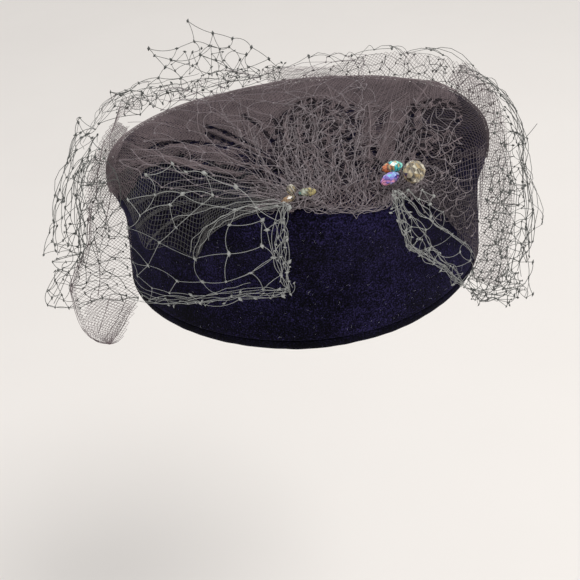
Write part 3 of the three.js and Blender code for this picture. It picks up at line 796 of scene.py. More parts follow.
# Where one open layer alone lies over the velvet: its upper edge in the frame.
WINDOW = [(112, 206), (124, 202), (134, 188), (142, 172), (152, 166), (165, 164), (180, 167), (205, 171), (232, 177), (258, 189), (285, 205)]
WINDOW_RIGHT = [(396, 208), (412, 196), (426, 186), (436, 180), (446, 176), (456, 168), (466, 160), (476, 158), (488, 160)]


def near_line(x, y, line):
    c = catmull(line, 10)
    near = np.full(x.shape, 1e9)
    for a, b in zip(c[:-1], c[1:]):
        d = b - a
        t = np.clip(((x - a[0]) * d[0] + (y - a[1]) * d[1]) / (d @ d), 0, 1)
        near = np.minimum(near, np.hypot(x - a[0] - t * d[0], y - a[1] - t * d[1]))
    return near


def gaps(P, seed=61, base=False):
    """False in the deep folds, where fewer layers cover the velvet, and over
    the windows, where one layer lies alone."""
    q, _ = to_frame(P)
    x, y = q[..., 0], q[..., 1]
    mid = ((x - 316) / 46) ** 2 + ((y - 148) / 50) ** 2 < 1
    front = (y > 160) & (x > 235) & (x < 392)
    right = ((x - 436) / 36) ** 2 + ((y - 140) / 42) ** 2 < 1
    speck = wave_noise(x, y, seed, 9, 9)
    hole = (mid | front | right) & (speck > (0.70 if base else 0.06))
    if not base:
        hole = hole | (((x - 439) / 19) ** 2 + ((y - 119) / 14) ** 2 < 0.8 + 0.7 * speck) | ((x > 463) & (y > 104 + 6 * speck))
    for line, wide in VALLEYS:
        if not base:
            hole = hole | (near_line(x, y, line) < wide * (0.75 + 0.5 * wave_noise(x, y, 66, 17, 3)))
        else:
            hole = hole | (near_line(x, y, line) < wide * (0.10 + 0.55 * wave_noise(x, y, 68, 15, 3)))
    for edge, x0, x1 in ((WINDOW, 96, 287), (WINDOW_RIGHT, 396, 492)):
        e = np.array(edge, float)
        top = np.interp(x, e[:, 0], e[:, 1]) + 1.6 * wave_noise(x, y, 67, 11, 3)
        hole = hole | ((x > x0) & (x < x1) & (y > top) & (P[..., 1] < 30))
    return ~hole


def open_gaps(keep, base=False):
    return lambda X, Y, phi, f, e, P: keep(X, Y, phi, f, e, P) & gaps(P, base=base)


def lift_by(base, amp, seed, count=30, rough=0.5):
    def lift(X, Y):
        return base + amp * ridges(X, Y, seed, count) + rough * (0.5 + 0.5 * wave_noise(X, Y, seed + 50, 30))
    return lift


def pleat_strips():
    """Folded-over strips of tulle that run from the gather out to the edge."""
    soup = Soup()
    g = np.random.default_rng(77)
    length = 0
    for k in range(44):
        a = -104 + 208 * (k + g.uniform(0.2, 0.8)) / 44
        gx = np.interp(a, [-104, 0, 104], [-16, 2, 20]) + g.normal(0, 1)
        r0, r1 = g.uniform(4, 10), g.uniform(70, 118)
        wide = g.uniform(2.2, 5.0)
        curl = g.uniform(-0.0016, 0.0016)
        r = np.arange(r0, r1, CELL * 1.05)
        w = wide * (0.3 + 0.7 * smooth((r - r0) / 45)) * (1 - 0.5 * smooth((r - r1 + 25) / 25))
        m = max(3, int(wide / (CELL * 0.9)))
        j = np.linspace(-0.5, 0.5, m)
        th = np.radians(a) + curl * (r - r0) ** 1.25
        cx, cy = gx + r * np.sin(th), -70 + r * np.cos(th)
        X = cx[:, None] + np.cos(th)[:, None] * w[:, None] * j[None]
        Y = cy[:, None] - np.sin(th)[:, None] * w[:, None] * j[None]
        hump = 1 - (2 * j[None]) ** 2
        L = 1.9 + 1.3 * ridges(X, Y, 5) + (0.6 + 1.4 * smooth(r[:, None] / 30)) * hump * g.uniform(0.5, 1.2)
        P, phi, f, e = drape(X, Y, L)
        ph = np.where(phi > 90, phi - 360, phi)
        z = P[..., 2]
        mask = (f < 1) | ((ph > -181) & (ph < -104) & (z > edge_upper(ph) + 1)) | ((phi > -80) & (phi < 20) & (z > edge_right(phi))) | (e < 8)
        mask &= (Y > -66.5) & gaps(P)
        length += lattice(soup, P, mask, THREAD)
    return tulle_piece(soup, "tulle_pleats", length, CELL, "folded", (0.26, 0.1), M_TULLE_LIGHT)


def px_cloth(name, first, last, place, lift, seed, turn=0.0, cell=CELL, radius=THREAD, held="hung", px_mm=2.05, join=None, clear=False):
    """A patch of tulle between two rails given by places in the frame. With
    join, a [soup, length] list, the patch becomes part of a larger piece."""
    g = np.random.default_rng(seed)
    A, B = catmull(first, 10), catmull(last, 10)

    def even(c, n):
        s_ = np.concatenate([[0], np.cumsum(np.linalg.norm(np.diff(c, axis=0), axis=1))])
        t = np.linspace(0, s_[-1], n)
        return np.stack([np.interp(t, s_, c[:, 0]), np.interp(t, s_, c[:, 1])], 1), s_[-1]

    long = (even(A, 2)[1] + even(B, 2)[1]) / 2
    nv = max(3, int(long / px_mm / cell) + 1)
    A, B = even(A, 200)[0], even(B, 200)[0]
    wide = np.linalg.norm(A - B, axis=1).mean()
    nu = max(3, int(wide / px_mm / cell) + 1)
    # a square grid turned by an angle inside the patch
    a = math.radians(turn)
    size = math.hypot(nu, nv) if turn else 0
    if turn:
        n = int(size) + 2
        I, J = np.meshgrid(np.arange(n) - n / 2, np.arange(n) - n / 2, indexing="ij")
        u = (I * math.cos(a) - J * math.sin(a)) / nu + 0.5
        v = (I * math.sin(a) + J * math.cos(a)) / nv + 0.5
    else:
        u, v = np.meshgrid(np.linspace(0, 1, nu), np.linspace(0, 1, nv), indexing="ij")
    ok = (u >= 0) & (u <= 1) & (v >= 0) & (v <= 1)
    uj = np.clip(u + g.normal(0, 0.06, u.shape) / nu, 0, 1)
    vj = np.clip(v + g.normal(0, 0.06, u.shape) / nv, 0, 1)
    k = vj * 199
    r = lambda c, i: np.interp(k.ravel(), np.arange(200), c[:, i]).reshape(k.shape)
    X = r(A, 0) * (1 - uj) + r(B, 0) * uj
    Y = r(A, 1) * (1 - uj) + r(B, 1) * uj
    P = place(np.stack([X.ravel(), Y.ravel()], 1), lift(uj, vj).ravel()).reshape(X.shape + (3,))
    if clear:
        ok = ok & ((beyond(P, 0.8) > 1) | (P[..., 2] > 70))
    rows, cols = np.where(ok.any(1))[0], np.where(ok.any(0))[0]
    P, ok = P[rows[0]:rows[-1] + 1, cols[0]:cols[-1] + 1], ok[rows[0]:rows[-1] + 1, cols[0]:cols[-1] + 1]
    if join is not None:
        join[1] += lattice(join[0], P, ok, radius)
        return None
    soup = Soup()
    length = lattice(soup, P, ok, radius)
    return tulle_piece(soup, name, length, cell, held, (nu * cell * MM, nv * cell * MM))


# ------------------------------------------------------------------ net
def links_to_tubes(soup, A, B, at, nrm, radius, seg=5, bow=0.07, seed=0, sides=4):
    """Strands between pairs of surface coordinates A, B (n, 3: phi, d, off)."""
    g = np.random.default_rng(seed)
    t = np.linspace(0, 1, seg)[None, :, None]
    C = A[:, None] * (1 - t) + B[:, None] * t
    P = at(C[..., 0], C[..., 1], C[..., 2])
    N = nrm(C[..., 0], C[..., 1])
    chord = P[:, -1] - P[:, 0]
    ln = np.linalg.norm(chord, axis=1)
    side = unit(np.cross(N[:, seg // 2], chord))
    amount = g.normal(0, bow, len(A)) * ln
    lift = g.normal(0, bow * 0.8, len(A)) * ln
    hump = (4 * t * (1 - t))[0, :, 0]
    P = P + side[:, None] * (amount[:, None] * hump)[..., None] + N * (np.abs(lift)[:, None] * hump)[..., None]
    tubes(soup, P, N, radius, sides)


def net_sheet(soup, fan, phi0, phi1, ncol, row, d0, seed, jit=0.2, puff=1.0, base=0.0, bunch=0.0, bunch_every=20.0,
              stop=0.0, radius=0.26, keep=None, knot=1.15, strays=0.4, dmax=None):
    g = np.random.default_rng(seed)
    dphi = (phi1 - phi0) / ncol
    nrow = int(230 / row)
    ij = [(i, j) for j in range(nrow) for i in range(ncol + 1)]
    phi = np.array([phi0 + (i + 0.5 * (j % 2)) * dphi for i, j in ij]) + g.normal(0, jit, len(ij)) * abs(dphi)
    d = np.array([d0 + j * row for i, j in ij]) + g.normal(0, jit, len(ij)) * row
    lo, hi = min(phi0, phi1), max(phi0, phi1)
    phi = np.clip(phi, lo, hi)
    if bunch:
        phi = phi + bunch * np.sin(2 * math.pi * phi / bunch_every + d * 0.01)
    growth = smooth((d - 8) / 40)
    off = base + puff * growth * (wave_noise(phi * 1.6, d, seed + 1, 24) + 0.5 * g.normal(0, 1, len(ij)))
    hem = fan.hem(phi) + stop
    alive = (d <= hem) & (d >= 0.5)
    if dmax is not None:
        alive &= d <= dmax
    if keep is not None:
        alive &= keep(phi, d, fan.at(phi, d, off))
    C = np.stack([phi, d, off], 1)
    index = {ij[k]: k for k in range(len(ij)) if alive[k]}
    pairs, deg = [], np.zeros(len(ij), int)
    for (i, j), k in index.items():
        for di in ((0, 1) if j % 2 else (-1, 0)):
            k2 = index.get((i + di, j + 1))
            if k2 is not None and g.uniform() > 0.015:
                pairs.append((k, k2))
                deg[k] += 1
                deg[k2] += 1
    pairs = np.array(pairs)
    links_to_tubes(soup, C[pairs[:, 0]], C[pairs[:, 1]], fan.at, fan.n, radius, seed=seed + 2)
    ks = np.where(deg >= 2)[0]
    at, nr = fan.at(C[ks, 0], C[ks, 1], C[ks, 2]), fan.n(C[ks, 0], C[ks, 1])
    along = unit(fan.at(C[ks, 0], C[ks, 1] + 1, C[ks, 2]) - at) + g.normal(0, 0.35, (len(ks), 3))
    size = g.uniform(0.75, 1.2, len(ks))
    if knot:
        knots(soup, at, along, nr + g.normal(0, 0.3, (len(ks), 3)), knot * size, knot * 0.72 * size, 0.5 * size)
    # cut ends past the last row
    last = [k for (i, j), k in index.items() if d[k] > hem[k] - row * 1.05 and g.uniform() < strays]
    if last:
        last = np.array(last)
        A = C[last]
        Bc = A + np.stack([g.normal(0, 0.5, len(last)) * abs(dphi), g.uniform(0.3, 0.75, len(last)) * row, g.normal(0, 1.5, len(last))], 1)
        links_to_tubes(soup, A, Bc, fan.at, fan.n, radius * 0.9, seed=seed + 3)
    return C, index


def chart_net(soup, knots_at, links, place, seed, radius=0.22, bow=0.09, knot=1.15, seg=7, lift=0.0, spread=0.0):
    """A charted piece of net: knots by their places in the frame, and links
    written as pairs of knot numbers."""
    g = np.random.default_rng(seed)
    table = np.array(knots_at, float)
    pairs = np.array([[int(v) for v in p.split("-")] for p in links.split()]) - 1
    up = lift + g.uniform(0, 1, len(table)) * spread
    A, B = table[pairs[:, 0]], table[pairs[:, 1]]
    t = np.linspace(0, 1, seg)[None, :, None]
    P2 = A[:, None] * (1 - t) + B[:, None] * t
    d = B - A
    side = np.stack([-d[:, 1], d[:, 0]], 1)
    hump = (4 * t * (1 - t))[0, :, 0]
    P2 = P2 + side[:, None] * (g.normal(0, bow, len(pairs))[:, None] * hump)[..., None]
    U = up[pairs[:, 0]][:, None] * (1 - t[..., 0]) + up[pairs[:, 1]][:, None] * t[..., 0]
    U = U + np.abs(g.normal(0, 0.35, len(pairs)))[:, None] * hump
    P = place(P2.reshape(-1, 2), U.reshape(-1)).reshape(P2.shape[0], seg, 3)
    N = wall_normal(P)
    tubes(soup, P, N, radius, 4)
    at = place(table, up)
    nr = wall_normal(at) + g.normal(0, 0.15, at.shape)
    along = np.cross(nr, g.normal(0, 1, at.shape))
    used = np.unique(pairs)
    size = g.uniform(0.75, 1.15, len(at))[used]
    knots(soup, at[used], along[used], nr[used], knot * size, knot * 0.62 * size, 0.45 * size)


def px_lines(soup, lines, place, radius=0.2, lift=0.0, seed=0, wander=0.8, n=40, spread=0.6):
    """Long strands through a few places in the frame each."""
    g = np.random.default_rng(seed)
    P, N = [], []
    for k, line in enumerate(lines):
        c = catmull(line, 12)
        s_ = np.concatenate([[0], np.cumsum(np.linalg.norm(np.diff(c, axis=0), axis=1))])
        t = np.linspace(0, s_[-1], n)
        q = np.stack([np.interp(t, s_, c[:, 0]), np.interp(t, s_, c[:, 1])], 1)
        q = q + wander * np.stack([wave_noise(t, 0 * t, seed * 91 + k, 26), wave_noise(t, 0 * t, seed * 93 + k, 26)], 1)
        up = lift + spread * (0.5 + 0.5 * wave_noise(t, 0 * t, seed * 95 + k, 30)) + g.uniform(0, 0.3)
        p = place(q, up)
        P.append(p)
        N.append(wall_normal(p))
    tubes(soup, np.array(P), np.array(N), radius, 4)


def px_net(soup, box, sx, sy, angle, jit, seed, place, lift, keep, radius=0.16, knot=0.9, bow=0.16, seg=6, drop=0.04):
    """A crumpled piece of net over a region of the frame."""
    g = np.random.default_rng(seed)
    x0, y0, x1, y1 = box
    cx, cy = (x0 + x1) / 2, (y0 + y1) / 2
    half = math.hypot(x1 - x0, y1 - y0) / 2
    ni, nj = int(2 * half / sx) + 2, int(2 * half / sy) + 2
    I, J = np.meshgrid(np.arange(ni), np.arange(nj), indexing="ij")
    U = (I + 0.5 * (J % 2)) * sx - half + g.normal(0, jit, I.shape) * sx
    V = J * sy - half + g.normal(0, jit, I.shape) * sy
    a = math.radians(angle)
    X, Y = cx + U * math.cos(a) - V * math.sin(a), cy + U * math.sin(a) + V * math.cos(a)
    ok = keep(X, Y)
    up = lift(X, Y) + 0 * X
    up = up * g.uniform(0.35, 1.25, up.shape)
    A, B = [], []
    for i in range(ni):
        for j in range(nj - 1):
            if not ok[i, j]:
                continue
            for di in ((0, 1) if j % 2 else (-1, 0)):
                k = i + di
                if 0 <= k < ni and ok[k, j + 1] and g.uniform() > drop:
                    A.append((i, j))
                    B.append((k, j + 1))
    A, B = np.array(A), np.array(B)
    pa = np.stack([X[A[:, 0], A[:, 1]], Y[A[:, 0], A[:, 1]]], 1)
    pb = np.stack([X[B[:, 0], B[:, 1]], Y[B[:, 0], B[:, 1]]], 1)
    ua, ub = up[A[:, 0], A[:, 1]], up[B[:, 0], B[:, 1]]
    t = np.linspace(0, 1, seg)
    P2 = pa[:, None] * (1 - t)[None, :, None] + pb[:, None] * t[None, :, None]
    d = pb - pa
    side = np.stack([-d[:, 1], d[:, 0]], 1)
    hump = 4 * t * (1 - t)
    P2 = P2 + side[:, None] * (g.normal(0, bow, len(A))[:, None] * hump[None])[..., None]
    Ul = ua[:, None] * (1 - t) + ub[:, None] * t + np.abs(g.normal(0, 0.5, len(A)))[:, None] * hump
    P = place(P2.reshape(-1, 2), Ul.reshape(-1)).reshape(len(A), seg, 3)
    N = hat_normal(P)
    tubes(soup, P, N, radius, 4)
    used = np.zeros(ok.shape, bool)
    used[A[:, 0], A[:, 1]] = True
    used[B[:, 0], B[:, 1]] = True
    at = place(np.stack([X[used], Y[used]], 1), up[used])
    nr = hat_normal(at) + g.normal(0, 0.4, at.shape)
    size = g.uniform(0.7, 1.15, len(at))
    knots(soup, at, np.cross(nr, g.normal(0, 1, at.shape)), nr, knot * size, knot * 0.5 * size, 0.38 * size)


def on_flap(px, up):
    return on_wall(px, 3.0 + np.asarray(up, float))


# Large open cells of the flap over the front of the left wall.
FLAP_KNOTS = [
    (229.3, 225), (262.5, 220), (228.8, 253.8), (262, 246), (195, 258.8), (177, 281), (202.5, 281.8), (226, 281.8), (148, 265.5), (159.5, 242.5),
    (273.8, 257.5), (281, 275), (287, 288), (282.5, 222.5), (267, 230), (170, 205), (182.5, 194), (202.5, 204), (155, 195), (140, 215.5),
    (146, 175), (235, 210), (176, 227.5), (212.5, 195), (172.5, 163.8), (137.5, 275.5), (263, 289.5), (240.5, 292), (215.8, 293.5), (191, 295),
    (169.4, 293), (152, 288), (131, 246), (127.5, 228), (256, 207.5), (277, 206), (289.5, 208), (287, 240), (289, 262), (278, 290),
    (251, 273), (133, 262), (150, 300), (200, 303), (240, 299), (283, 296), (128, 200), (204, 173), (236, 187), (186, 172)]
FLAP_LINKS = ("1-3 1-2 3-4 2-4 3-8 4-11 8-11 7-8 7-5 6-7 5-10 6-9 5-3 9-10 9-33 9-42 26-42 26-9 10-34 16-17 16-20 16-23 23-10 17-18 17-19 19-21 20-34 20-19 "
              "18-24 18-22 22-1 24-17 22-35 35-14 35-2 14-37 15-2 15-14 15-11 11-12 12-13 14-38 38-39 39-13 38-11 12-27 13-40 27-40 27-28 28-29 29-30 30-31 31-32 "
              "32-26 41-8 41-27 41-11 13-46 46-45 45-44 44-43 43-32 28-45 30-44 36-14 36-35 21-25 25-50 50-48 48-24 48-49 49-35 47-20 47-19 6-31 7-29 18-23")
FLAP_FRONT = [
    [(286, 205), (283, 222), (286, 240), (284, 262), (289, 280), (290, 292)], [(284, 205), (279, 225), (276, 243), (281, 262), (284, 278), (289, 290)],
    [(281, 206), (276, 214), (272, 232), (274, 252), (280, 272), (288, 289)], [(287, 206), (287, 226), (281, 246), (288, 266), (288, 282), (290, 291)],
    [(283, 205), (281, 232), (285, 252), (287, 272), (291, 288)]]
FLAP_FOLD = [
    [(290, 290), (277, 295), (262, 296), (240, 296), (214, 300), (186, 304), (160, 303), (142, 301), (126, 299), (105, 298)],
    [(290, 292), (270, 297), (250, 297), (225, 300), (195, 303), (172, 304), (150, 302), (134, 300), (118, 300), (100, 299)],
    [(288, 288), (268, 291), (245, 294), (222, 297), (196, 299), (170, 299), (152, 296), (138, 290)],
    [(289, 291), (262, 294), (236, 297), (208, 301), (184, 302), (158, 300), (143, 296), (136, 286)],
    [(284, 290), (262, 287), (240, 290), (214, 295), (190, 297), (166, 295), (148, 290), (134, 280)],
    [(250, 283), (236, 287), (222, 290), (205, 296), (188, 300)]]
FLAP_TOP = [
    [(287, 206), (270, 207), (252, 211), (232, 212), (215, 221), (203, 233), (196, 247), (195, 257)],
    [(286, 205), (262, 209), (243, 214), (226, 221), (212, 230), (203, 243), (197, 254)],
    [(284, 207), (258, 205), (240, 208), (222, 216), (205, 228), (193, 240), (190, 252)],
    [(287, 204), (268, 203), (248, 206), (230, 215), (214, 226), (208, 240)],
    [(285, 203), (264, 200), (240, 203), (214, 208), (190, 214), (170, 220)]]

# Open cells and folded strands of the billow at the lower left.
BILLOW_KNOTS = [
    (105.6, 223.8), (96.9, 232.5), (91.3, 243.1), (115, 258.8), (98.1, 260.6), (85.6, 266.9), (110, 273.1), (86.3, 283.1), (107.5, 285), (125.6, 287.5),
    (85, 293.1), (102.5, 298.1), (126.3, 295.6), (122.5, 300), (68.8, 308.1), (80, 308.1), (55, 307.5), (47.5, 305), (51.9, 298.1), (47.5, 291.3),
    (55, 280), (62.5, 270), (56.9, 258.8), (52.5, 261.9), (70, 250.6), (55, 245), (63, 240.6), (79.4, 254.4), (68.8, 271.9), (63, 279.4),
    (61.9, 295), (65, 207.5), (65, 225.6), (75.6, 173.8), (73.1, 193.8), (95.6, 198.1), (80, 220), (108.8, 236.3), (128, 237.5), (78.8, 242.5),
    (98, 205), (120, 206), (126, 245), (127.5, 267.5), (130, 275), (138, 298), (71.5, 285), (77, 262), (88, 185), (100, 181),
    (92, 168), (82, 160), (90, 150), (104, 158), (114, 170), (84, 205), (70, 215), (76, 232), (66, 262), (58, 270)]
BILLOW_LINKS = ("1-3 1-39 1-41 1-42 3-4 3-5 3-6 4-43 4-5 4-44 5-7 5-6 6-45 7-10 7-8 8-9 9-13 8-47 6-8 10-46 11-9 11-12 11-15 12-13 13-46 12-14 14-46 12-16 16-15 "
                "15-17 17-18 18-19 19-20 20-21 21-22 22-24 24-23 23-28 24-28 23-25 26-25 26-27 27-33 25-28 22-29 29-30 30-19 21-31 31-17 31-15 27-58 33-57 57-32 "
                "32-35 35-34 34-52 52-53 34-49 35-56 56-37 37-40 40-28 37-58 58-25 28-48 48-6 48-29 29-47 47-8 49-50 49-51 51-54 54-55 50-36 36-41 36-56 55-50 1-38 2-1 "
                "2-3 38-39 24-59 59-22 59-48 60-21 60-29 30-47 31-19 41-37 42-55")
BILLOW_LINES = [
    [(84, 158), (79, 178), (76, 198), (79, 216), (82, 234), (84, 246), (80, 258), (74, 270), (70, 288), (74, 304)],
    [(88, 156), (83, 176), (80, 196), (81, 214), (86, 232), (86, 248), (82, 262), (75, 276), (72, 292)],
    [(82, 160), (74, 180), (71, 200), (70, 216), (76, 232), (80, 248), (76, 262), (66, 276), (60, 290), (54, 304)],
    [(92, 154), (86, 172), (84, 190), (82, 206), (84, 224), (87, 240), (84, 254), (80, 264)],
    [(78, 170), (70, 190), (66, 208), (65, 226), (70, 242), (78, 256), (84, 262)],
    [(96, 150), (88, 168), (80, 186), (77, 206), (80, 226), (78, 244), (79, 262)],
    [(110, 176), (98, 190), (88, 206), (78, 222), (80, 240), (82, 256)],
    [(106, 172), (92, 182), (80, 194), (74, 210), (78, 228), (84, 244)],
    [(98, 299), (86, 302), (70, 307), (58, 308), (48, 305), (45, 295), (52, 282), (60, 270)]]

# The bunch of net that falls from the right beads to the right rim.
FALL_KNOTS = [
    (390.7, 212.9), (404.3, 197.1), (418.6, 199.3), (430, 204.3), (432.9, 221.4), (401.4, 221.4), (405.7, 230.7), (410.7, 227.1), (425.7, 230), (430.7, 217.1),
    (441.4, 228.6), (452.1, 234.3), (410.7, 248.6), (420, 238.6), (430.7, 247.1), (415.7, 250), (434.3, 260), (425.7, 249.3), (437.9, 254.3), (452.9, 267.1),
    (455.7, 278.6), (461.4, 282.9), (470, 260.7), (464.3, 242.9), (471.4, 251.4), (451.4, 272.9), (464.3, 287.1), (410, 217.1), (397.1, 208.6), (396, 198),
    (408, 190), (422, 190), (434, 196), (443, 212), (460, 252), (472, 272), (444, 266)]
FALL_LINKS = ("1-29 29-6 29-28 2-28 3-10 4-10 3-4 28-9 28-8 6-7 7-8 8-9 9-5 5-10 5-11 11-12 9-14 9-15 14-13 7-13 13-16 16-15 15-12 15-18 14-18 16-17 18-17 15-19 "
              "19-17 19-20 17-20 17-26 20-23 20-21 26-21 21-22 22-27 12-24 24-25 25-23 20-22 8-14 30-29 30-2 31-2 31-3 32-3 32-4 33-4 34-4 34-11 34-5 24-35 35-23 36-22 "
              "36-23 37-17 37-26 19-35 31-30 32-33")
FALL_LINES = [
    [(394, 190), (397, 205), (400, 220), (406, 235), (411, 248), (424, 257), (438, 265), (450, 275), (458, 282), (464, 287)],
    [(396, 189), (400, 206), (405, 222), (408, 238), (416, 249), (430, 257), (444, 266), (455, 278), (463, 285)],
    [(397, 190), (404, 204), (413, 219), (424, 231), (432, 245), (441, 257), (452, 268), (463, 280), (468, 284)],
    [(400, 190), (412, 205), (424, 216), (433, 222), (445, 231), (456, 238), (466, 247), (474, 258)],
    [(392, 190), (395, 204), (398, 220), (404, 236), (409, 246), (420, 254), (432, 262)],
    [(402, 190), (409, 200), (420, 214), (431, 219), (438, 228), (448, 232)],
    [(406, 190), (418, 200), (429, 210), (440, 224), (452, 234), (464, 244)],
    [(434, 256), (446, 268), (455, 275), (464, 284), (467, 286)]]

# Strands that cross the left cluster of beads.
BEAD_STRANDS = [
    [(276, 206), (286, 199), (297, 192), (310, 186), (322, 176)], [(280, 190), (290, 195), (301, 196), (314, 200), (326, 204)],
    [(284, 182), (292, 190), (298, 198), (300, 208)], [(303, 182), (305, 191), (303, 200), (296, 208)], [(274, 198), (288, 203), (302, 201), (318, 194)],
    [(280, 184), (288, 193), (290, 201), (287, 209)], [(278, 204), (290, 198), (302, 197), (316, 198), (328, 194)], [(312, 184), (311, 192), (306, 200), (304, 208)]]

GATHER_EDGE = [
    [(246, 207), (270, 207), (292, 206), (310, 208), (330, 210), (352, 212), (374, 210), (388, 203), (398, 196)],
    [(250, 205), (272, 208), (294, 207), (314, 209), (334, 211), (356, 211), (376, 208), (390, 200)],
    [(255, 203), (276, 205), (298, 205), (320, 207), (342, 209), (362, 209), (380, 205), (392, 198)],
    [(262, 200), (284, 203), (304, 203), (326, 205), (348, 207), (368, 205), (384, 200)]]

# Knots along the lower part of the right fall.
RIM_KNOTS = [
    (464.3, 287.1), (468.6, 278.6), (485.7, 292.9), (480, 301.4), (495.7, 298.6), (478.6, 277.1), (494.3, 290), (502.9, 288.6), (509.3, 302.1), (506.4, 306.4),
    (514.3, 295.7), (522.9, 285.7), (526.4, 297.9), (532.9, 294.3), (528.6, 277.1), (532.9, 262.1), (519.3, 262.1), (513.6, 258.6), (517.1, 282.9), (511.4, 270),
    (491.4, 260), (500, 254.3), (484.3, 251.4), (488.6, 221.4), (478.6, 221.4), (498.6, 241.4), (497.1, 219.3), (487.1, 200), (501.4, 201.4), (494.3, 171.4),
    (510.7, 172.9), (518.6, 168.6), (527.1, 182.9), (533.6, 210), (532.9, 241.4), (525.7, 245.7), (505.7, 208.6), (515, 224.3), (511.4, 232.9), (522.9, 252.9),
    (487.1, 260), (504.3, 274.3), (480, 260), (471.4, 288.6), (498.6, 281.4), (489, 284), (473, 296), (488, 299), (519, 291), (508, 282)]
RIM_LINKS = ("1-2 1-44 44-4 4-5 5-9 5-7 7-8 8-11 3-4 3-7 2-3 6-3 2-6 8-12 11-9 9-10 10-5 12-13 13-14 14-15 15-16 16-17 17-18 12-15 19-12 19-8 19-20 20-18 17-40 40-36 "
             "36-35 35-34 34-33 33-32 32-31 31-29 29-28 28-30 29-37 37-38 38-34 38-39 39-26 26-22 22-18 22-21 21-41 41-23 23-26 24-27 25-24 27-37 24-28 26-27 23-43 "
             "43-41 41-6 21-42 42-45 45-7 42-20 6-45 36-39 40-18 46-3 46-6 46-45 46-7 47-44 47-4 48-4 48-5 48-3 49-11 49-12 49-13 50-19 50-8 50-45 50-42 47-3")
RIM_LINES = [
    [(466, 287), (476, 293), (486, 296), (497, 294), (508, 290), (518, 287), (527, 284)],
    [(470, 290), (482, 299), (494, 299), (506, 294), (516, 290), (524, 288)],
    [(468, 280), (478, 287), (490, 290), (500, 287), (510, 284), (521, 284)],
    [(476, 278), (486, 284), (496, 286), (508, 281), (516, 279)],
    [(494, 150), (503, 175), (505, 200), (504, 222), (506, 244), (508, 262), (506, 280)],
    [(510, 160), (515, 180), (516, 204), (513, 226), (515, 248), (512, 268), (509, 284)],
    [(520, 160), (528, 184), (531, 206), (533, 226), (530, 246), (522, 256), (518, 270)],
    [(516, 150), (524, 172), (529, 196), (527, 220), (524, 240), (519, 258)],
    [(500, 150), (498, 170), (501, 190), (499, 214), (502, 236), (497, 256)]]


# The edge that stands up behind the left of the top.
FRILL_KNOTS = [
    (187.6, 20.8), (212.8, 33.2), (194.2, 41.5), (176.8, 48.5), (209.2, 45.7), (220, 49), (229.1, 46.8), (246.5, 54.4), (200, 54.8),
    (192.6, 65.6), (226.6, 67.2), (165.2, 67.2), (154.4, 55.6), (148.6, 48.5), (181, 78), (158.6, 77.7), (138.7, 83), (110.5, 92),
    (120.1, 94.6), (142.8, 92.9), (114.6, 106.2), (98.9, 123.6), (166.9, 110.3), (140.3, 114.5), (85.6, 135.2), (232.4, 38.5), (251.4, 47.3),
    (268.9, 58.9), (278.8, 67.2), (236.5, 72.7), (171, 59.8), (249, 67.2), (209.2, 73.8), (228, 82), (203, 90), (185, 97),
    (260, 76), (168, 93), (127, 108), (150, 104), (216, 60)]
FRILL_LINKS = ("14-13 14-4 4-3 3-1 1-2 2-26 26-27 27-28 28-29 2-5 2-6 5-7 5-6 6-7 7-26 6-11 7-8 8-27 8-32 32-28 32-37 37-29 3-5 3-9 9-5 9-41 41-6 41-11" " "
               "9-10 9-11 13-12 13-31 31-4 31-9 31-10 12-16 12-15 31-12 10-15 10-33 33-11 16-15 16-17 16-20 17-18 17-19 18-19 18-21 19-20 19-21 21-22 21-39 39-20 20-24 24-39 40-20" " "
               "40-24 40-38 38-16 38-36 36-15 36-35 33-35 35-34 34-30 30-11 30-33 30-37 37-34 40-23 23-38 23-36 24-22 22-25 11-32 8-30")


def frill_place(px, up=0.0):
    px = np.atleast_2d(px)
    out = np.interp(px[:, 1], [20, 60, 115], [8.5, 7.0, 3.0])
    left = smooth((150 - px[:, 0]) / 50)
    out = out * (1 - left) + left * 9
    return on_wall(px, out + up, far=True)


# ------------------------------------------------------------------ beads
def faceted(axis, long, wide, rings, sides, twist=0.5):
    """A cut bead: rings (share of length, share of width) of flat facets."""
    V = [[0, 0, -long]]
    for k, (u, w) in enumerate(rings):
        for j in range(sides):
            a = 2 * math.pi * (j + twist * (k % 2)) / sides
            V.append([wide * w * math.cos(a), wide * w * math.sin(a), long * u])
    V.append([0, 0, long])
    V = np.array(V)
    T = []
    for j in range(sides):
        T.append([0, 1 + (j + 1) % sides, 1 + j])
    for k in range(len(rings) - 1):
        a0, b0 = 1 + k * sides, 1 + (k + 1) * sides
        for j in range(sides):
            j1 = (j + 1) % sides
            if k % 2 == 0:
                T += [[a0 + j, a0 + j1, b0 + j], [a0 + j1, b0 + j1, b0 + j]]
            else:
                T += [[a0 + j, b0 + j1, b0 + j], [a0 + j, a0 + j1, b0 + j1]]
    a0 = 1 + (len(rings) - 1) * sides
    for j in range(sides):
        T.append([len(V) - 1, a0 + j, a0 + (j + 1) % sides])
    z = unit(np.array(axis, float))
    x = unit(np.cross([0.3, 0.2, 0.9], z))
    y = np.cross(z, x)
    return V @ np.stack([x, y, z]), np.array(T)


def bore_direction(turn, rise):
    t, r = math.radians(turn), math.radians(rise)
    return [math.cos(r) * math.cos(t), math.cos(r) * math.sin(t), math.sin(r)]


ROUND = [(-0.90, 0.44), (-0.64, 0.77), (-0.24, 0.97), (0.24, 0.97), (0.64, 0.77), (0.90, 0.44)]
OLIVE = [(-0.93, 0.32), (-0.70, 0.66), (-0.38, 0.92), (0.0, 1.0), (0.38, 0.92), (0.70, 0.66), (0.93, 0.32)]


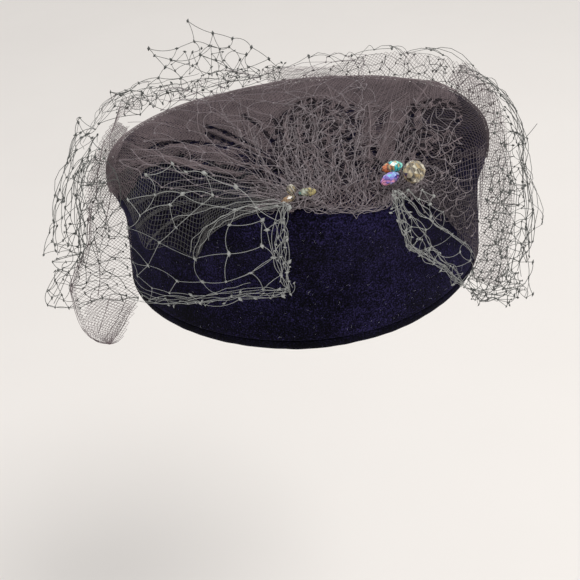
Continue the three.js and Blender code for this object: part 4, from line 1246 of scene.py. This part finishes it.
def build_beads():
    # The bright and near-black stops, given facet by facet, are painted glints and painted dark reflections; the tints
    # between are the glass's and its coat's own colours.
    champagne = [(0.0, (0.03, 0.02, 0.01)), (0.14, (0.62, 0.50, 0.30)), (0.26, (0.05, 0.04, 0.025)), (0.38, (0.30, 0.25, 0.17)), (0.50, (0.09, 0.07, 0.05)),
                 (0.60, (0.85, 0.78, 0.60)), (0.72, (0.07, 0.055, 0.035)), (0.86, (0.46, 0.34, 0.16)), (1.0, (0.12, 0.10, 0.07))]
    teal = [(0.0, (0.08, 0.02, 0.01)), (0.16, (0.75, 0.20, 0.06)), (0.28, (0.08, 0.03, 0.02)), (0.40, (0.60, 0.45, 0.20)), (0.50, (0.02, 0.10, 0.10)),
            (0.62, (0.06, 0.66, 0.70)), (0.74, (0.02, 0.12, 0.10)), (0.88, (0.25, 0.85, 0.75)), (1.0, (0.06, 0.20, 0.12))]
    violet = [(0.0, (0.60, 0.22, 0.08)), (0.14, (0.06, 0.02, 0.04)), (0.28, (0.75, 0.25, 0.42)), (0.40, (0.05, 0.02, 0.16)), (0.54, (0.30, 0.20, 0.72)),
              (0.66, (0.03, 0.03, 0.22)), (0.78, (0.22, 0.32, 0.74)), (0.90, (0.15, 0.60, 0.62)), (1.0, (0.02, 0.08, 0.12))]
    gold = [(0.0, (0.20, 0.42, 0.38)), (0.15, (0.05, 0.05, 0.02)), (0.30, (0.55, 0.60, 0.45)), (0.42, (0.08, 0.07, 0.03)), (0.55, (0.62, 0.50, 0.16)),
            (0.68, (0.10, 0.08, 0.03)), (0.82, (0.75, 0.62, 0.22)), (1.0, (0.14, 0.11, 0.04))]
    amber = [(0.0, (0.30, 0.12, 0.05)), (0.2, (0.03, 0.015, 0.01)), (0.38, (0.62, 0.34, 0.14)), (0.52, (0.05, 0.03, 0.015)), (0.68, (0.50, 0.36, 0.18)), (0.85, (0.05, 0.035, 0.02))]
    # Darkens the glass of the left cluster, half-buried in the net and tulle: painted shade.
    shade_dim = lambda stops, f: [(t, tuple(c * f for c in col)) for t, col in stops]
    rows = [
        ("bead_right_round", (26.5, -69.0, 78.3), 4.3, 4.3, 60, 55, ROUND, 11, champagne, (1, 0, 0.4), 0.22, "clear_glass", 1.1),
        ("bead_right_upper", (21.0, -60.2, 77.0), 4.3, 2.35, 3, 0, OLIVE, 8, teal, (1, 0.1, 0.2), 0.0, "teal_glass", 0.6),
        ("bead_right_lower", (17.8, -67.1, 76.2), 4.8, 2.3, 28, 0, OLIVE, 8, violet, (0.35, 0.3, 1), 0.0, "violet_glass", 0.75),
        ("bead_left_round", (-19.0, -62.2, 76.1), 2.0, 2.0, 0, 20, ROUND, 8, shade_dim(champagne, 0.8), (1, 0, 0.4), 0.3, "clear_glass", 1.1),
        ("bead_left_upper", (-13.6, -65.4, 75.7), 3.4, 1.7, -10, 0, OLIVE, 8, shade_dim(gold, 0.6), (1, 0, 0.1), 0.0, "gold_glass", 0.45),
        ("bead_left_lower", (-21.3, -67.3, 75.2), 3.5, 1.35, 24, 0, OLIVE, 8, shade_dim(amber, 0.42), (1, 0, 0.3), 0.0, "amber_glass", 0.5)]
    for name, at, long, wide, turn, rise, rings, sides, stops, across, through, slot, spread in rows:
        mat = glass("glass_" + name[5:], stops, at, across, long, through, rough=0.03 if wide > 2 else 0.12, spread=spread)
        V, T = faceted(bore_direction(turn, rise), long, wide, rings, sides)
        soup = Soup()
        soup.add(V + np.array(at), None, T)
        soup.piece("cut_" + name, mat, slot, smooth_shade=False, replaces=(name,))


# ------------------------------------------------------------------ build
build_crown()
build_hem()
build_lint()

# the first layer's darker thread is painted shade under the layers above it
tulle_sheet("tulle_first", (0, 0), (230, 200), 8, open_gaps(keep_main(), True), lift_by(0.55, 1.5, 5), 101, folds=0.45, mat=M_TULLE_SHADED_BELOW)
tulle_sheet("tulle_second", (0, 0), (210, 190), 34, open_gaps(keep_main(right=False, higher=1.5)), lift_by(1.2, 1.7, 5), 102, FINE_CELL, FINE_THREAD)
tulle_sheet("tulle_third", (0, 0), (190, 165), 63, open_gaps(keep_main(top_only=True)), lift_by(1.9, 1.9, 5), 103, FINE_CELL, FINE_THREAD, folds=1.15)
pleat_strips()
fall = [Soup(), 0.0]
FALL_IN = [(440, 90), (458, 98), (470, 112), (478, 134), (479, 160), (478, 185), (476, 210), (473, 235), (470, 258), (466, 280)]
FALL_OUT = [(462, 60), (488, 82), (500, 112), (507, 145), (511, 180), (512, 210), (510, 240), (506, 265), (498, 286)]
for k, (turn, deep, wide) in enumerate(((38, 0.0, 0.0), (12, -5.0, 3.0))):
    px_cloth("tulle_right_fall_%d" % (k + 1), FALL_IN, np.array(FALL_OUT) + [wide, 0], right_side,
             lambda u, v, k=k, deep=deep: deep + (9 - 18 * k) * (u - 0.5) + 1.8 * np.sin(v * 13 + u * 2.5 + 1.3 * k) + 1.2 * wave_noise(u * 40, v * 60, 304 + 5 * k, 20),
             304 + k, turn=turn, cell=HUNG_CELL, radius=HUNG_THREAD, clear=True, join=fall)
tulle_piece(fall[0], "tulle_right_fall", fall[1], HUNG_CELL, "hung", (0.03, 0.12), M_TULLE_LIGHT)
back = [Soup(), 0.0]
px_cloth("tulle_back_edge", [(268, 84), (300, 80), (335, 79), (372, 82), (410, 88), (440, 98), (462, 116), (474, 140)],
         [(262, 70), (300, 66), (330, 66), (352, 58), (390, 51), (432, 54), (466, 66), (494, 96)],
         lambda q, u: on_wall(q, u, far=True), lambda u, v: 2.5 + 3.5 * u + 1.2 * wave_noise(u * 30, v * 90, 305, 25), 305, turn=33, cell=HUNG_CELL, radius=HUNG_THREAD, join=back)
px_cloth("tulle_back_corner", [(108, 142), (116, 124), (126, 114), (140, 108)], [(113, 128), (119, 108), (124, 97), (146, 96)],
         lambda q, u: on_wall(q, u, far=True), lambda u, v: 4 + 3 * u + 1.0 * wave_noise(u * 30, v * 30, 306, 20), 306, turn=20, cell=HUNG_CELL, radius=HUNG_THREAD, join=back)
puff = [Soup(), 0.0]
for k in range(2):
    px_cloth("tulle_puff_%d" % (k + 1), [(256, 86), (276, 80), (296, 76), (312, 72.5), (324, 71.5), (338, 75), (350, 80)], [(256, 92), (276, 88), (296, 86), (312, 84), (324, 84), (338, 84), (350, 85)],
             lambda q, u: on_wall(q, u, far=True), lambda u, v, k=k: 0.8 + 1.5 * k + 1.5 * wave_noise(u * 30, v * 90, 307 + k, 14), 307 + k, turn=15 + 30 * k,
             cell=FINE_CELL, radius=FINE_THREAD, join=puff)
tulle_piece(puff[0], "tulle_back_puff", puff[1], FINE_CELL, "hung", (0.02, 0.05))
tulle_piece(back[0], "tulle_back_edge", back[1], HUNG_CELL, "hung", (0.02, 0.13), M_TULLE_LIGHT)

# one open layer over the left of the front, down to a point, with folded bands
open_left = [Soup(), 0.0]
px_cloth("tulle_left_wall", [(109, 138), (124, 142), (150, 146), (180, 150), (210, 158), (240, 168), (266, 180), (288, 190)],
         [(113, 188), (127, 206), (137, 230), (147, 249), (170, 246), (195, 257), (206, 240), (222, 226), (250, 213), (286, 205)],
         on_hat, lambda u, v: 1.4 + 0.9 * wave_noise(u * 40, v * 120, 321, 24), 321, cell=OPEN_CELL, radius=OPEN_THREAD, join=open_left)
LEFT_BANDS = [
    ([(130, 208), (146, 198), (166, 192), (190, 190), (214, 190), (240, 194), (264, 199), (286, 204)], 4.5),
    ([(136, 228), (152, 214), (172, 205), (196, 201), (222, 199), (248, 200), (286, 205)], 3.5),
    ([(146, 246), (160, 230), (178, 218), (200, 210), (224, 206), (250, 205), (286, 206)], 4.0),
    ([(196, 257), (203, 240), (216, 227), (236, 217), (258, 210), (287, 206)], 6.0)]
for k, (line, wide) in enumerate(LEFT_BANDS):
    c = np.array(line, float)
    px_cloth("band", c + [0, -wide * 0.5], c + [0, wide * 0.5], on_hat, lambda u, v, k=k: 2.6 + 0.25 * k + 0.8 * np.sin(math.pi * u), 340 + k, turn=0 if k % 2 else 31,
             cell=OPEN_CELL, radius=OPEN_THREAD, join=open_left)
tulle_piece(open_left[0], "tulle_left_wall", open_left[1], OPEN_CELL, "gathered", (0.09, 0.04), M_TULLE_COOL)
open_right = [Soup(), 0.0]
px_cloth("tulle_right_wall", [(398, 190), (418, 172), (440, 158), (462, 148), (486, 146)],
         [(404, 194), (424, 198), (440, 208), (452, 226), (466, 248), (476, 262)],
         on_hat, lambda u, v: 1.6 + 0.9 * wave_noise(u * 60, v * 90, 323, 22), 323, turn=12, cell=OPEN_CELL, radius=OPEN_THREAD, join=open_right)
px_cloth("tulle_right_side", [(486, 140), (486, 165), (484, 190), (481, 215), (478, 240), (476, 262)], [(476, 150), (476, 172), (474, 196), (471, 214), (471, 236), (473, 258)],
         on_hat, lambda u, v: 2.2 + 0.9 * wave_noise(u * 60, v * 90, 327, 22), 327, turn=5, cell=OPEN_CELL, radius=OPEN_THREAD, join=open_right)
px_cloth("tulle_right_fold", [(402, 186), (420, 178), (440, 176), (460, 184), (476, 200)],
         [(408, 196), (422, 202), (438, 212), (454, 228), (474, 252)],
         on_hat, lambda u, v: 3.0 + 1.4 * wave_noise(u * 60, v * 90, 324, 18), 324, turn=37, cell=OPEN_CELL, radius=OPEN_THREAD, join=open_right)
tulle_piece(open_right[0], "tulle_right_wall", open_right[1], OPEN_CELL, "gathered", (0.05, 0.03), M_TULLE_DIM)


def left_back(px, push=0.0):
    """The hanging layer at the left, in soft upright folds."""
    px = np.atleast_2d(np.asarray(px, float))
    x, y = px[:, 0], px[:, 1]
    low = smooth((y - 110) / 90)
    fold = 8.5 * np.sin((x - 66) * 0.115 + (y - 120) * 0.010) + 3.0 * np.sin((x - 66) * 0.27 + 1.0)
    return upright(178)(px, push - 2.0 + fold * low)



tail = [Soup(), 0.0]
for k, (a, b) in enumerate((([(88, 212), (89, 226), (88.5, 242), (83.5, 257), (76, 273), (72, 288), (75, 304), (78.5, 316), (85, 330), (96.5, 340)],
                             [(92, 212), (92, 226), (91.5, 242), (87, 258), (80, 274), (76, 288), (79, 303), (82.5, 314), (89, 327), (99, 336)]),
                            ([(134, 306), (127.5, 316), (119, 331), (110, 344)], [(129, 305), (122.5, 315), (114, 329), (105, 341)]))):
    px_cloth("tulle_tail_hem_%d" % (k + 1), a, b, left_back, lambda u, v: 2.0 + 1.0 * np.sin(v * 11), 330 + k, turn=22 + 9 * k, cell=HUNG_CELL, radius=HUNG_THREAD, join=tail)
# the folded edges, as a few threads that run close together
TAIL_EDGES = [
    [(92, 205), (89.5, 226), (88.5, 242), (83, 257), (76, 272), (72, 288), (74.5, 304), (78, 316), (84.5, 330), (96, 340), (109, 344)],
    [(90, 206), (88, 226), (87, 242), (81.5, 257), (74.5, 272), (70.8, 288), (73, 304), (77, 317), (84, 331), (96, 341), (110, 344.5)],
    [(136, 303), (131, 311), (126, 320), (120, 331), (110, 344)], [(110, 296), (106, 310), (102, 322), (98, 334)], [(126, 300), (120, 314), (112, 328), (104, 340)],
    [(94, 236), (98, 256), (100, 276), (98, 296)], [(116, 160), (112, 180), (110, 200), (106, 220), (102, 240)], [(104, 140), (100, 160), (97, 180), (96, 200)]]
for k, width in enumerate((0.10, 0.10, 0.09)):
    px_lines(tail[0], TAIL_EDGES, left_back, width, 0.6 * k, 350 + k, 0.55, n=80, spread=1.2)
# the layer that hangs behind the left side and ends in the rounded tail
px_cloth("tulle_tail", [(118, 120), (104, 140), (94, 162), (88, 185), (86, 209), (88, 226), (87.5, 242), (82.5, 257), (75, 273), (71, 288), (74, 304), (77.5, 316), (84, 331), (96, 341), (110, 344)],
         [(128, 128), (122, 146), (116, 165), (118, 190), (126, 210), (131, 228), (133, 246), (135, 262), (138, 276), (141, 288), (139, 298), (134, 306), (127.5, 316), (119, 331), (110, 344)],
         left_back, lambda u, v: 1.5 * wave_noise(u * 40, v * 60, 301, 22), 301, turn=41, cell=HUNG_CELL, radius=HUNG_THREAD, join=tail)
px_cloth("tulle_tail_fold", [(90, 296), (86, 306), (84, 316), (88, 328), (98, 338), (110, 344)], [(140, 300), (136, 310), (131, 320), (127, 330), (121, 340), (111, 344.5)],
         left_back, lambda u, v: 4 + 1.5 * np.sin(u * 7), 302, turn=17, cell=HUNG_CELL, radius=HUNG_THREAD, join=tail)
px_cloth("tulle_left_upper", [(112, 122), (100, 140), (92, 160), (86, 182), (84, 200), (86, 214), (92, 212)], [(130, 126), (124, 142), (118, 158), (116, 172), (120, 184), (124, 192), (127, 198)],
         left_back, lambda u, v: -3 + 2 * wave_noise(u * 40, v * 60, 303, 20), 303, turn=28, cell=HUNG_CELL, radius=HUNG_THREAD, join=tail)
tulle_piece(tail[0], "tulle_tail", tail[1], HUNG_CELL, "hung", (0.045, 0.12), M_TULLE_LIGHT)
# the gathers that roll over the front edge between the bead clusters
for k, (low, up) in enumerate(((0.0, 1.2), (-2.0, 2.2))):
    px_cloth("tulle_gather_%d" % (k + 1), [(250, 186), (272, 188), (292, 186), (318, 184), (345, 183), (368, 181), (386, 178), (404, 176)],
             [(252, 207 + low), (270, 207 + low), (288, 206 + low), (306, 207.5 + low), (326, 209 + low), (350, 211.5 + low), (374, 210 + low), (388, 203 + low), (398, 196 + low)],
             on_hat, lambda u, v, up=up, k=k: up * (0.45 + 0.9 * np.sin(math.pi * np.clip(v, 0, 1)) + 0.55 * wave_noise(v * 220, u * 8, 311 + k, 9)), 311 + k, turn=24 + 31 * k, held="gathered")

soup = Soup()
chart_net(soup, FLAP_KNOTS, FLAP_LINKS, on_flap, 11, radius=0.118, knot=1.35)
px_lines(soup, FLAP_FRONT, on_flap, 0.105, 0.2, 12, 1.8)
px_lines(soup, FLAP_FOLD, on_flap, 0.105, 0.3, 13, 1.5, n=70)
px_lines(soup, FLAP_TOP, on_flap, 0.10, 0.0, 14, 1.6)
chart_net(soup, FALL_KNOTS, FALL_LINKS, on_flap, 15, radius=0.108, knot=1.2)
px_lines(soup, FALL_LINES, on_flap, 0.10, 0.2, 16, 2.2, n=60)
px_lines(soup, FALL_LINES[:5], on_flap, 0.09, 0.9, 116, 3.4, n=60)
px_net(soup, (385, 190, 480, 300), 7.5, 8.5, 48, 0.3, 59, lambda q, u: on_flap(q, u), lambda x, y: 0.8 + 0.6 * wave_noise(x, y, 60, 20),
       lambda x, y: (np.abs(near_line(x, y, [(396, 194), (404, 222), (416, 246), (440, 264), (462, 284)])) < 9), radius=0.095, knot=1.05, bow=0.15)
px_net(soup, (260, 195, 300, 300), 8.0, 9.0, 12, 0.3, 62, lambda q, u: on_flap(q, u), lambda x, y: 0.8 + 0.6 * wave_noise(x, y, 61, 20),
       lambda x, y: near_line(x, y, [(284, 206), (280, 232), (282, 258), (288, 288)]) < 7, radius=0.095, knot=1.0, bow=0.15)
px_net(soup, (130, 275, 300, 310), 9.0, 6.0, 4, 0.3, 63, lambda q, u: on_flap(q, u), lambda x, y: 0.8 + 0.6 * wave_noise(x, y, 64, 20),
       lambda x, y: near_line(x, y, [(288, 291), (262, 296), (228, 299), (190, 303), (150, 301), (134, 297)]) < 4, radius=0.09, knot=1.0, bow=0.12)
# the front flaps take the lightened net thread: painted light
soup.piece("net_front_flaps", M_NET_LIT, "net")

soup = Soup()
front_layer, back_layer = left_side(20), left_side(-16)
chart_net(soup, BILLOW_KNOTS, BILLOW_LINKS, front_layer, 17, radius=0.14, knot=1.35, spread=4)
px_lines(soup, BILLOW_LINES, left_side(4), 0.14, 0.0, 18, 1.6, n=50, spread=4)


def in_billow(x, y):
    return (x > left_outline(y) + 2) & (x < np.interp(y, [130, 170, 200, 250, 300], [112, 114, 122, 130, 136])) & (y > 128) & (y < 303)


px_net(soup, (40, 120, 140, 310), 12.5, 11.5, 70, 0.26, 48, back_layer, lambda x, y: 1.0 + 3 * wave_noise(x, y, 49, 30), in_billow, radius=0.13, knot=1.25, bow=0.14)
net_sheet(soup, net_fan, -164, -216, 8, 8.4, 60, 31, jit=0.26, puff=2.4, bunch=2.0, bunch_every=17, radius=0.135, knot=1.1, keep=lambda p, d, P: (to_frame(P)[0][:, 1] < 262) & (to_frame(P)[0][:, 1] > 112) & (beyond(P, 2.0) > 1))
soup.piece("net_left_fall", M_NET_SHADE, "net", replaces=("net_veil",))

soup = Soup()
chart_net(soup, FRILL_KNOTS, FRILL_LINKS, frill_place, 12, radius=0.14, knot=1.25)
FRILL_BAND = [
    [(98, 122), (112, 106), (126, 97), (148, 93), (170, 90), (196, 85), (224, 80), (252, 76), (286, 72)], [(104, 116), (118, 103), (138, 100), (160, 94), (186, 88), (214, 84), (244, 78), (276, 74)],
    [(92, 128), (104, 110), (120, 96), (142, 90), (168, 86), (194, 80), (220, 76), (246, 71)], [(112, 104), (130, 92), (152, 88), (178, 84), (204, 79), (232, 74), (262, 71)],
    [(108, 112), (128, 103), (154, 98), (182, 92), (210, 86), (240, 80), (270, 77)], [(86, 136), (95, 120), (106, 104), (122, 92), (144, 84), (170, 80), (198, 74)],
    [(84, 140), (92, 124), (100, 110), (112, 98), (128, 88), (150, 80)], [(82, 150), (86, 134), (96, 116), (110, 100), (126, 94)]]
for k in range(2):
    px_lines(soup, FRILL_BAND[k::2], lambda q, u: frill_place(q, u - 1.5), 0.11, 1.5 * k, 27 + k, 3.2, n=70, spread=3)
in_frill = lambda x, y: (np.abs(y - 101 + 0.193 * (x - 130)) < 13) & (x > 112) & (x < 290)
px_net(soup, (105, 60, 300, 120), 10.5, 8.5, -18, 0.24, 19, frill_place, lambda x, y: -1.5, in_frill, radius=0.13, knot=1.05, bow=0.10)
px_net(soup, (105, 60, 300, 120), 11.5, 9.0, 22, 0.26, 20, frill_place, lambda x, y: -3.5, in_frill, radius=0.13, knot=1.0, bow=0.10)
px_net(soup, (150, 40, 270, 90), 11.5, 9.5, 8, 0.24, 21, frill_place, lambda x, y: -1.0, lambda x, y: ((x - 212) / 46) ** 2 + ((y - 62) / 17) ** 2 < 1, radius=0.13, knot=1.1, bow=0.10)
soup.piece("net_back_edge", M_NET_SHADE, "net")

soup = Soup()
net_sheet(soup, net_fan, -116, -216, 9, 9.0, 5, 33, jit=0.24, puff=0.9, base=-0.6, dmax=112, radius=0.11, knot=0.7, keep=lambda p, d, P: (beyond(P, 0.0) < 1.0) & (P[..., 2] < 78))
net_sheet(soup, net_fan, -216, -300, 8, 9.0, 6, 34, jit=0.36, puff=1.4, base=-0.4, dmax=152, radius=0.11, knot=0.7, strays=0.4, keep=lambda p, d, P: P[..., 2] < 78)


def crumple(box, sx, sy, angle, jit, seed, low, high, inside, **kw):
    px_net(soup, box, sx, sy, angle, jit, seed, on_hat, lambda x, y: low + (high - low) * (0.5 + 0.5 * wave_noise(x, y, seed + 7, 30)), inside, **kw)


def gathered_strands(count, seed):
    """Lines that leave the gather and fan out over the front of the top."""
    g = np.random.default_rng(seed)
    lines = []
    for t in g.uniform(0, 1, count):
        a = np.array([284 + 108 * t, 206 - 7 * math.sin(math.pi * t) + g.normal(0, 1.5)])
        b = np.array([226 + 205 * t + g.normal(0, 12), 104 - 8 * math.sin(math.pi * t) + g.normal(0, 12)])
        bend = np.array([g.normal(-5, 8), g.normal(0, 4)])
        stop = g.uniform(0.6, 1.0)
        lines.append([tuple(a), tuple(a + (b - a) * 0.33 * stop + bend), tuple(a + (b - a) * 0.68 * stop + bend * 0.8), tuple(a + (b - a) * stop)])
    return lines


def blob(cx, cy, rx, ry, turn=0):
    a = math.radians(turn)
    return lambda x, y: (((x - cx) * math.cos(a) + (y - cy) * math.sin(a)) / rx) ** 2 + ((-(x - cx) * math.sin(a) + (y - cy) * math.cos(a)) / ry) ** 2 < 1


crumple((270, 90, 360, 200), 10.0, 9.0, 25, 0.34, 41, 2.5, 6.0, blob(315, 142, 42, 48, 15), radius=0.13, knot=0.95, bow=0.2)
crumple((270, 90, 360, 200), 12.0, 10.0, 60, 0.36, 42, 1.5, 4.5, blob(318, 148, 46, 52, 15), radius=0.12, knot=0.9, bow=0.22)
crumple((335, 80, 400, 200), 10.0, 11.0, 80, 0.34, 43, 2.0, 5.5, blob(364, 130, 20, 52, -8), radius=0.12, knot=0.9, bow=0.2)
crumple((370, 90, 470, 200), 9.5, 8.5, -30, 0.34, 44, 2.0, 5.0, blob(418, 142, 48, 46, 0), radius=0.12, knot=0.85, bow=0.22)
crumple((255, 170, 400, 215), 10.5, 9.0, 10, 0.36, 45, 1.5, 4.0, lambda x, y: (x > 258) & (x < 396) & (y > 172) & (y < 205), radius=0.12, knot=0.85, bow=0.25)
crumple((250, 160, 400, 215), 11.0, 9.5, 45, 0.38, 46, 2.0, 4.5, lambda x, y: (x > 262) & (x < 392) & (y > 165) & (y < 207), radius=0.12, knot=0.85, bow=0.25)
crumple((385, 150, 480, 240), 9.5, 9.0, 30, 0.3, 47, 2.5, 4.5, lambda x, y: (x > 390) & (x < 476) & (y > 168) & (y < 0.55 * x - 18), radius=0.115, knot=0.8, bow=0.2)
crumple((370, 165, 425, 208), 6.0, 6.0, 20, 0.4, 71, 2.0, 7.5, blob(402, 188, 25, 12, 0), radius=0.115, knot=0.8, bow=0.25)
crumple((384, 158, 432, 205), 6.5, 6.0, 55, 0.4, 73, 2.5, 7.5, blob(412, 185, 18, 12, 0), radius=0.115, knot=0.8, bow=0.25)
crumple((275, 180, 326, 212), 6.5, 6.0, 50, 0.4, 72, 1.5, 5.0, blob(300, 198, 24, 10, 0), radius=0.115, knot=0.8, bow=0.25)
px_lines(soup, gathered_strands(52, 81), on_hat, 0.085, 2.2, 82, 2.6, n=56, spread=2.6)
for k in range(3):
    px_lines(soup, GATHER_EDGE, lambda q, u: on_hat(q, 1.0 + u), 0.085, 0.2 * k, 25 + 7 * k, 2.8 + 1.6 * k, n=110, spread=1.4)
px_lines(soup, BEAD_STRANDS, lambda q, u: on_hat(q, u), 0.1, 6.6, 26, 0.8, n=36, spread=1.6)
soup.piece("net_top", M_NET_TOP, "net")

soup = Soup()
RIGHT_OUT = [(50, 440), (62, 470), (84, 494), (110, 512), (150, 525), (185, 532), (215, 535), (250, 531), (275, 528), (292, 532), (306, 512)]
RIGHT_IN = [(50, 400), (70, 430), (90, 452), (115, 476), (150, 489), (200, 487), (240, 482), (262, 478), (280, 468), (306, 470)]


def in_right(x, y, y0, y1):
    o, i = np.array(RIGHT_OUT, float), np.array(RIGHT_IN, float)
    return (x < np.interp(y, o[:, 0], o[:, 1]) - 1.5) & (x > np.interp(y, i[:, 0], i[:, 1]) - 3) & (y > y0) & (y < y1)


def right_near(px, up=0.0):
    px = np.atleast_2d(px)
    out = np.interp(px[:, 0], [470, 490, 512, 535], [12.0, 19.0, 24.0, 27.0])
    return on_wall(px, out + 0.6 * np.asarray(up, float))


def right_far(px, up=0.0):
    px = np.atleast_2d(px)
    out = np.interp(px[:, 1], [45, 100, 150, 220], [12.0, 18.0, 22.0, 26.0]) + np.interp(px[:, 0], [480, 535], [0.0, 3.0])
    return on_wall(px, out + 0.6 * np.asarray(up, float), far=True)


px_net(soup, (400, 40, 545, 240), 9.5, 9.0, 62, 0.27, 51, right_far, lambda x, y: 2 * wave_noise(x, y, 52, 30), lambda x, y: in_right(x, y, 58, 215), radius=0.13, knot=1.1, bow=0.13)
net_sheet(soup, net_fan, -250, -396, 17, 9.0, 58, 36, jit=0.3, puff=2.2, bunch=1.8, bunch_every=13, radius=0.13, knot=1.0,
          keep=lambda p, d, P: (beyond(P, 2.0) > 1) & (to_frame(P)[0][:, 1] > 46))
in_back = lambda x, y: (x > 268) & (x < 452) & (y > np.interp(x, [262, 300, 330, 352, 390, 432, 466], [71, 67, 66, 59, 51, 54, 66])) & (y < np.interp(x, [262, 300, 350, 400, 440, 470], [84, 80, 80, 84, 92, 105]))
px_net(soup, (262, 46, 470, 110), 11.5, 7.5, 4, 0.28, 53, lambda q, u: on_wall(q, u, far=True), lambda x, y: 6 + (84 - y) * 0.22 + 2 * wave_noise(x, y, 54, 30), in_back, radius=0.13, knot=1.1, bow=0.12)
px_net(soup, (460, 165, 545, 310), 10.0, 9.5, 75, 0.27, 55, right_near, lambda x, y: 2 * wave_noise(x, y, 56, 30), lambda x, y: in_right(x, y, 178, 304), radius=0.13, knot=1.15, bow=0.13)
px_lines(soup, [[(460, 283), (470, 290), (482, 296), (498, 301)], [(463, 285), (475, 293), (490, 299)], [(466, 284), (476, 290), (488, 294), (502, 297)]], right_side, 0.11, 0.0, 58, 1.6, n=30)
px_net(soup, (455, 250, 545, 312), 8.5, 8.0, 15, 0.3, 57, right_near, lambda x, y: -3 + 2 * wave_noise(x, y, 58, 20), lambda x, y: in_right(x, y, 268, 306), radius=0.13, knot=1.2, bow=0.14)
chart_net(soup, RIM_KNOTS, RIM_LINKS, right_side, 20, radius=0.135, knot=1.25, spread=4)
px_lines(soup, RIM_LINES, right_side, 0.14, 0.0, 21, 1.6, n=50, spread=4)
px_lines(soup, [[(509, 152), (520, 143), (530, 133), (537, 124)]], right_side, 0.14, 0.0, 22, 0.5, n=10)
soup.piece("net_right_fall", M_NET_SHADE, "net")

build_beads()
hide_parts("tulle_veil")

for k, (o, flat, area, held, tri) in enumerate(tulle_pieces):
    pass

# ------------------------------------------------------------------ stage
bpy.ops.mesh.primitive_plane_add(size=9, location=(0, 1.5, -0.30))
floor = bpy.context.object
floor.name = "floor"
fm, fnt, fb = material("floor_paper", (0.80, 0.775, 0.755), 0.9)
fn = noise_node(fnt, 3, 3)
fr = ramp_node(fnt, [(0.3, (0.79, 0.765, 0.745)), (0.7, (0.81, 0.785, 0.765))])
fnt.links.new(fn.outputs["Fac"], fr.inputs["Fac"])
fnt.links.new(fr.outputs["Color"], fb.inputs["Base Color"])
floor.data.materials.append(fm)

world = bpy.data.worlds.new("studio")
bpy.context.scene.world = world
world.use_nodes = True
world.node_tree.nodes["Background"].inputs["Color"].default_value = (1.0, 0.985, 0.965, 1)
world.node_tree.nodes["Background"].inputs["Strength"].default_value = 0.80


def area_light(name, at, target, size, power, colour=(1, 1, 1)):
    d = bpy.data.lights.new(name, "AREA")
    d.shape, d.size, d.energy, d.color = "DISK", size, power, colour
    o = bpy.data.objects.new(name, d)
    o.location = at
    o.rotation_euler = (Vector(target) - Vector(at)).to_track_quat("-Z", "Y").to_euler()
    bpy.context.scene.collection.objects.link(o)
    return o


area_light("key", (0.75, -0.35, 1.5), (0, 0, 0.03), 0.8, 14, (1.0, 0.98, 0.95))
area_light("fill", (-1.0, -1.0, 0.8), (0, 0, 0.03), 1.1, 3, (0.95, 0.97, 1.0))

cam_data = bpy.data.cameras.new("camera")
cam = bpy.data.objects.new("camera", cam_data)
bpy.context.scene.collection.objects.link(cam)
cam_data.sensor_fit = "HORIZONTAL"
cam_data.sensor_width = 36.0
cam_data.lens = FOCAL / FRAME_PX * 36.0
cam_data.clip_start, cam_data.clip_end = 0.01, 30
R = Matrix(CAM_AXES.tolist()).transposed()
cam.matrix_world = Matrix.Translation(Vector((CAM_AT * MM).tolist())) @ R.to_4x4()
bpy.context.scene.camera = cam
bpy.context.scene.view_settings.view_transform = "Standard"

for o in bpy.data.objects:
    if o.type == "MESH":
        print("piece", o.name, len(o.data.polygons), sum(len(p.vertices) - 2 for p in o.data.polygons) if len(o.data.polygons) < 400000 else "-", "hidden" if o.hide_render else "")
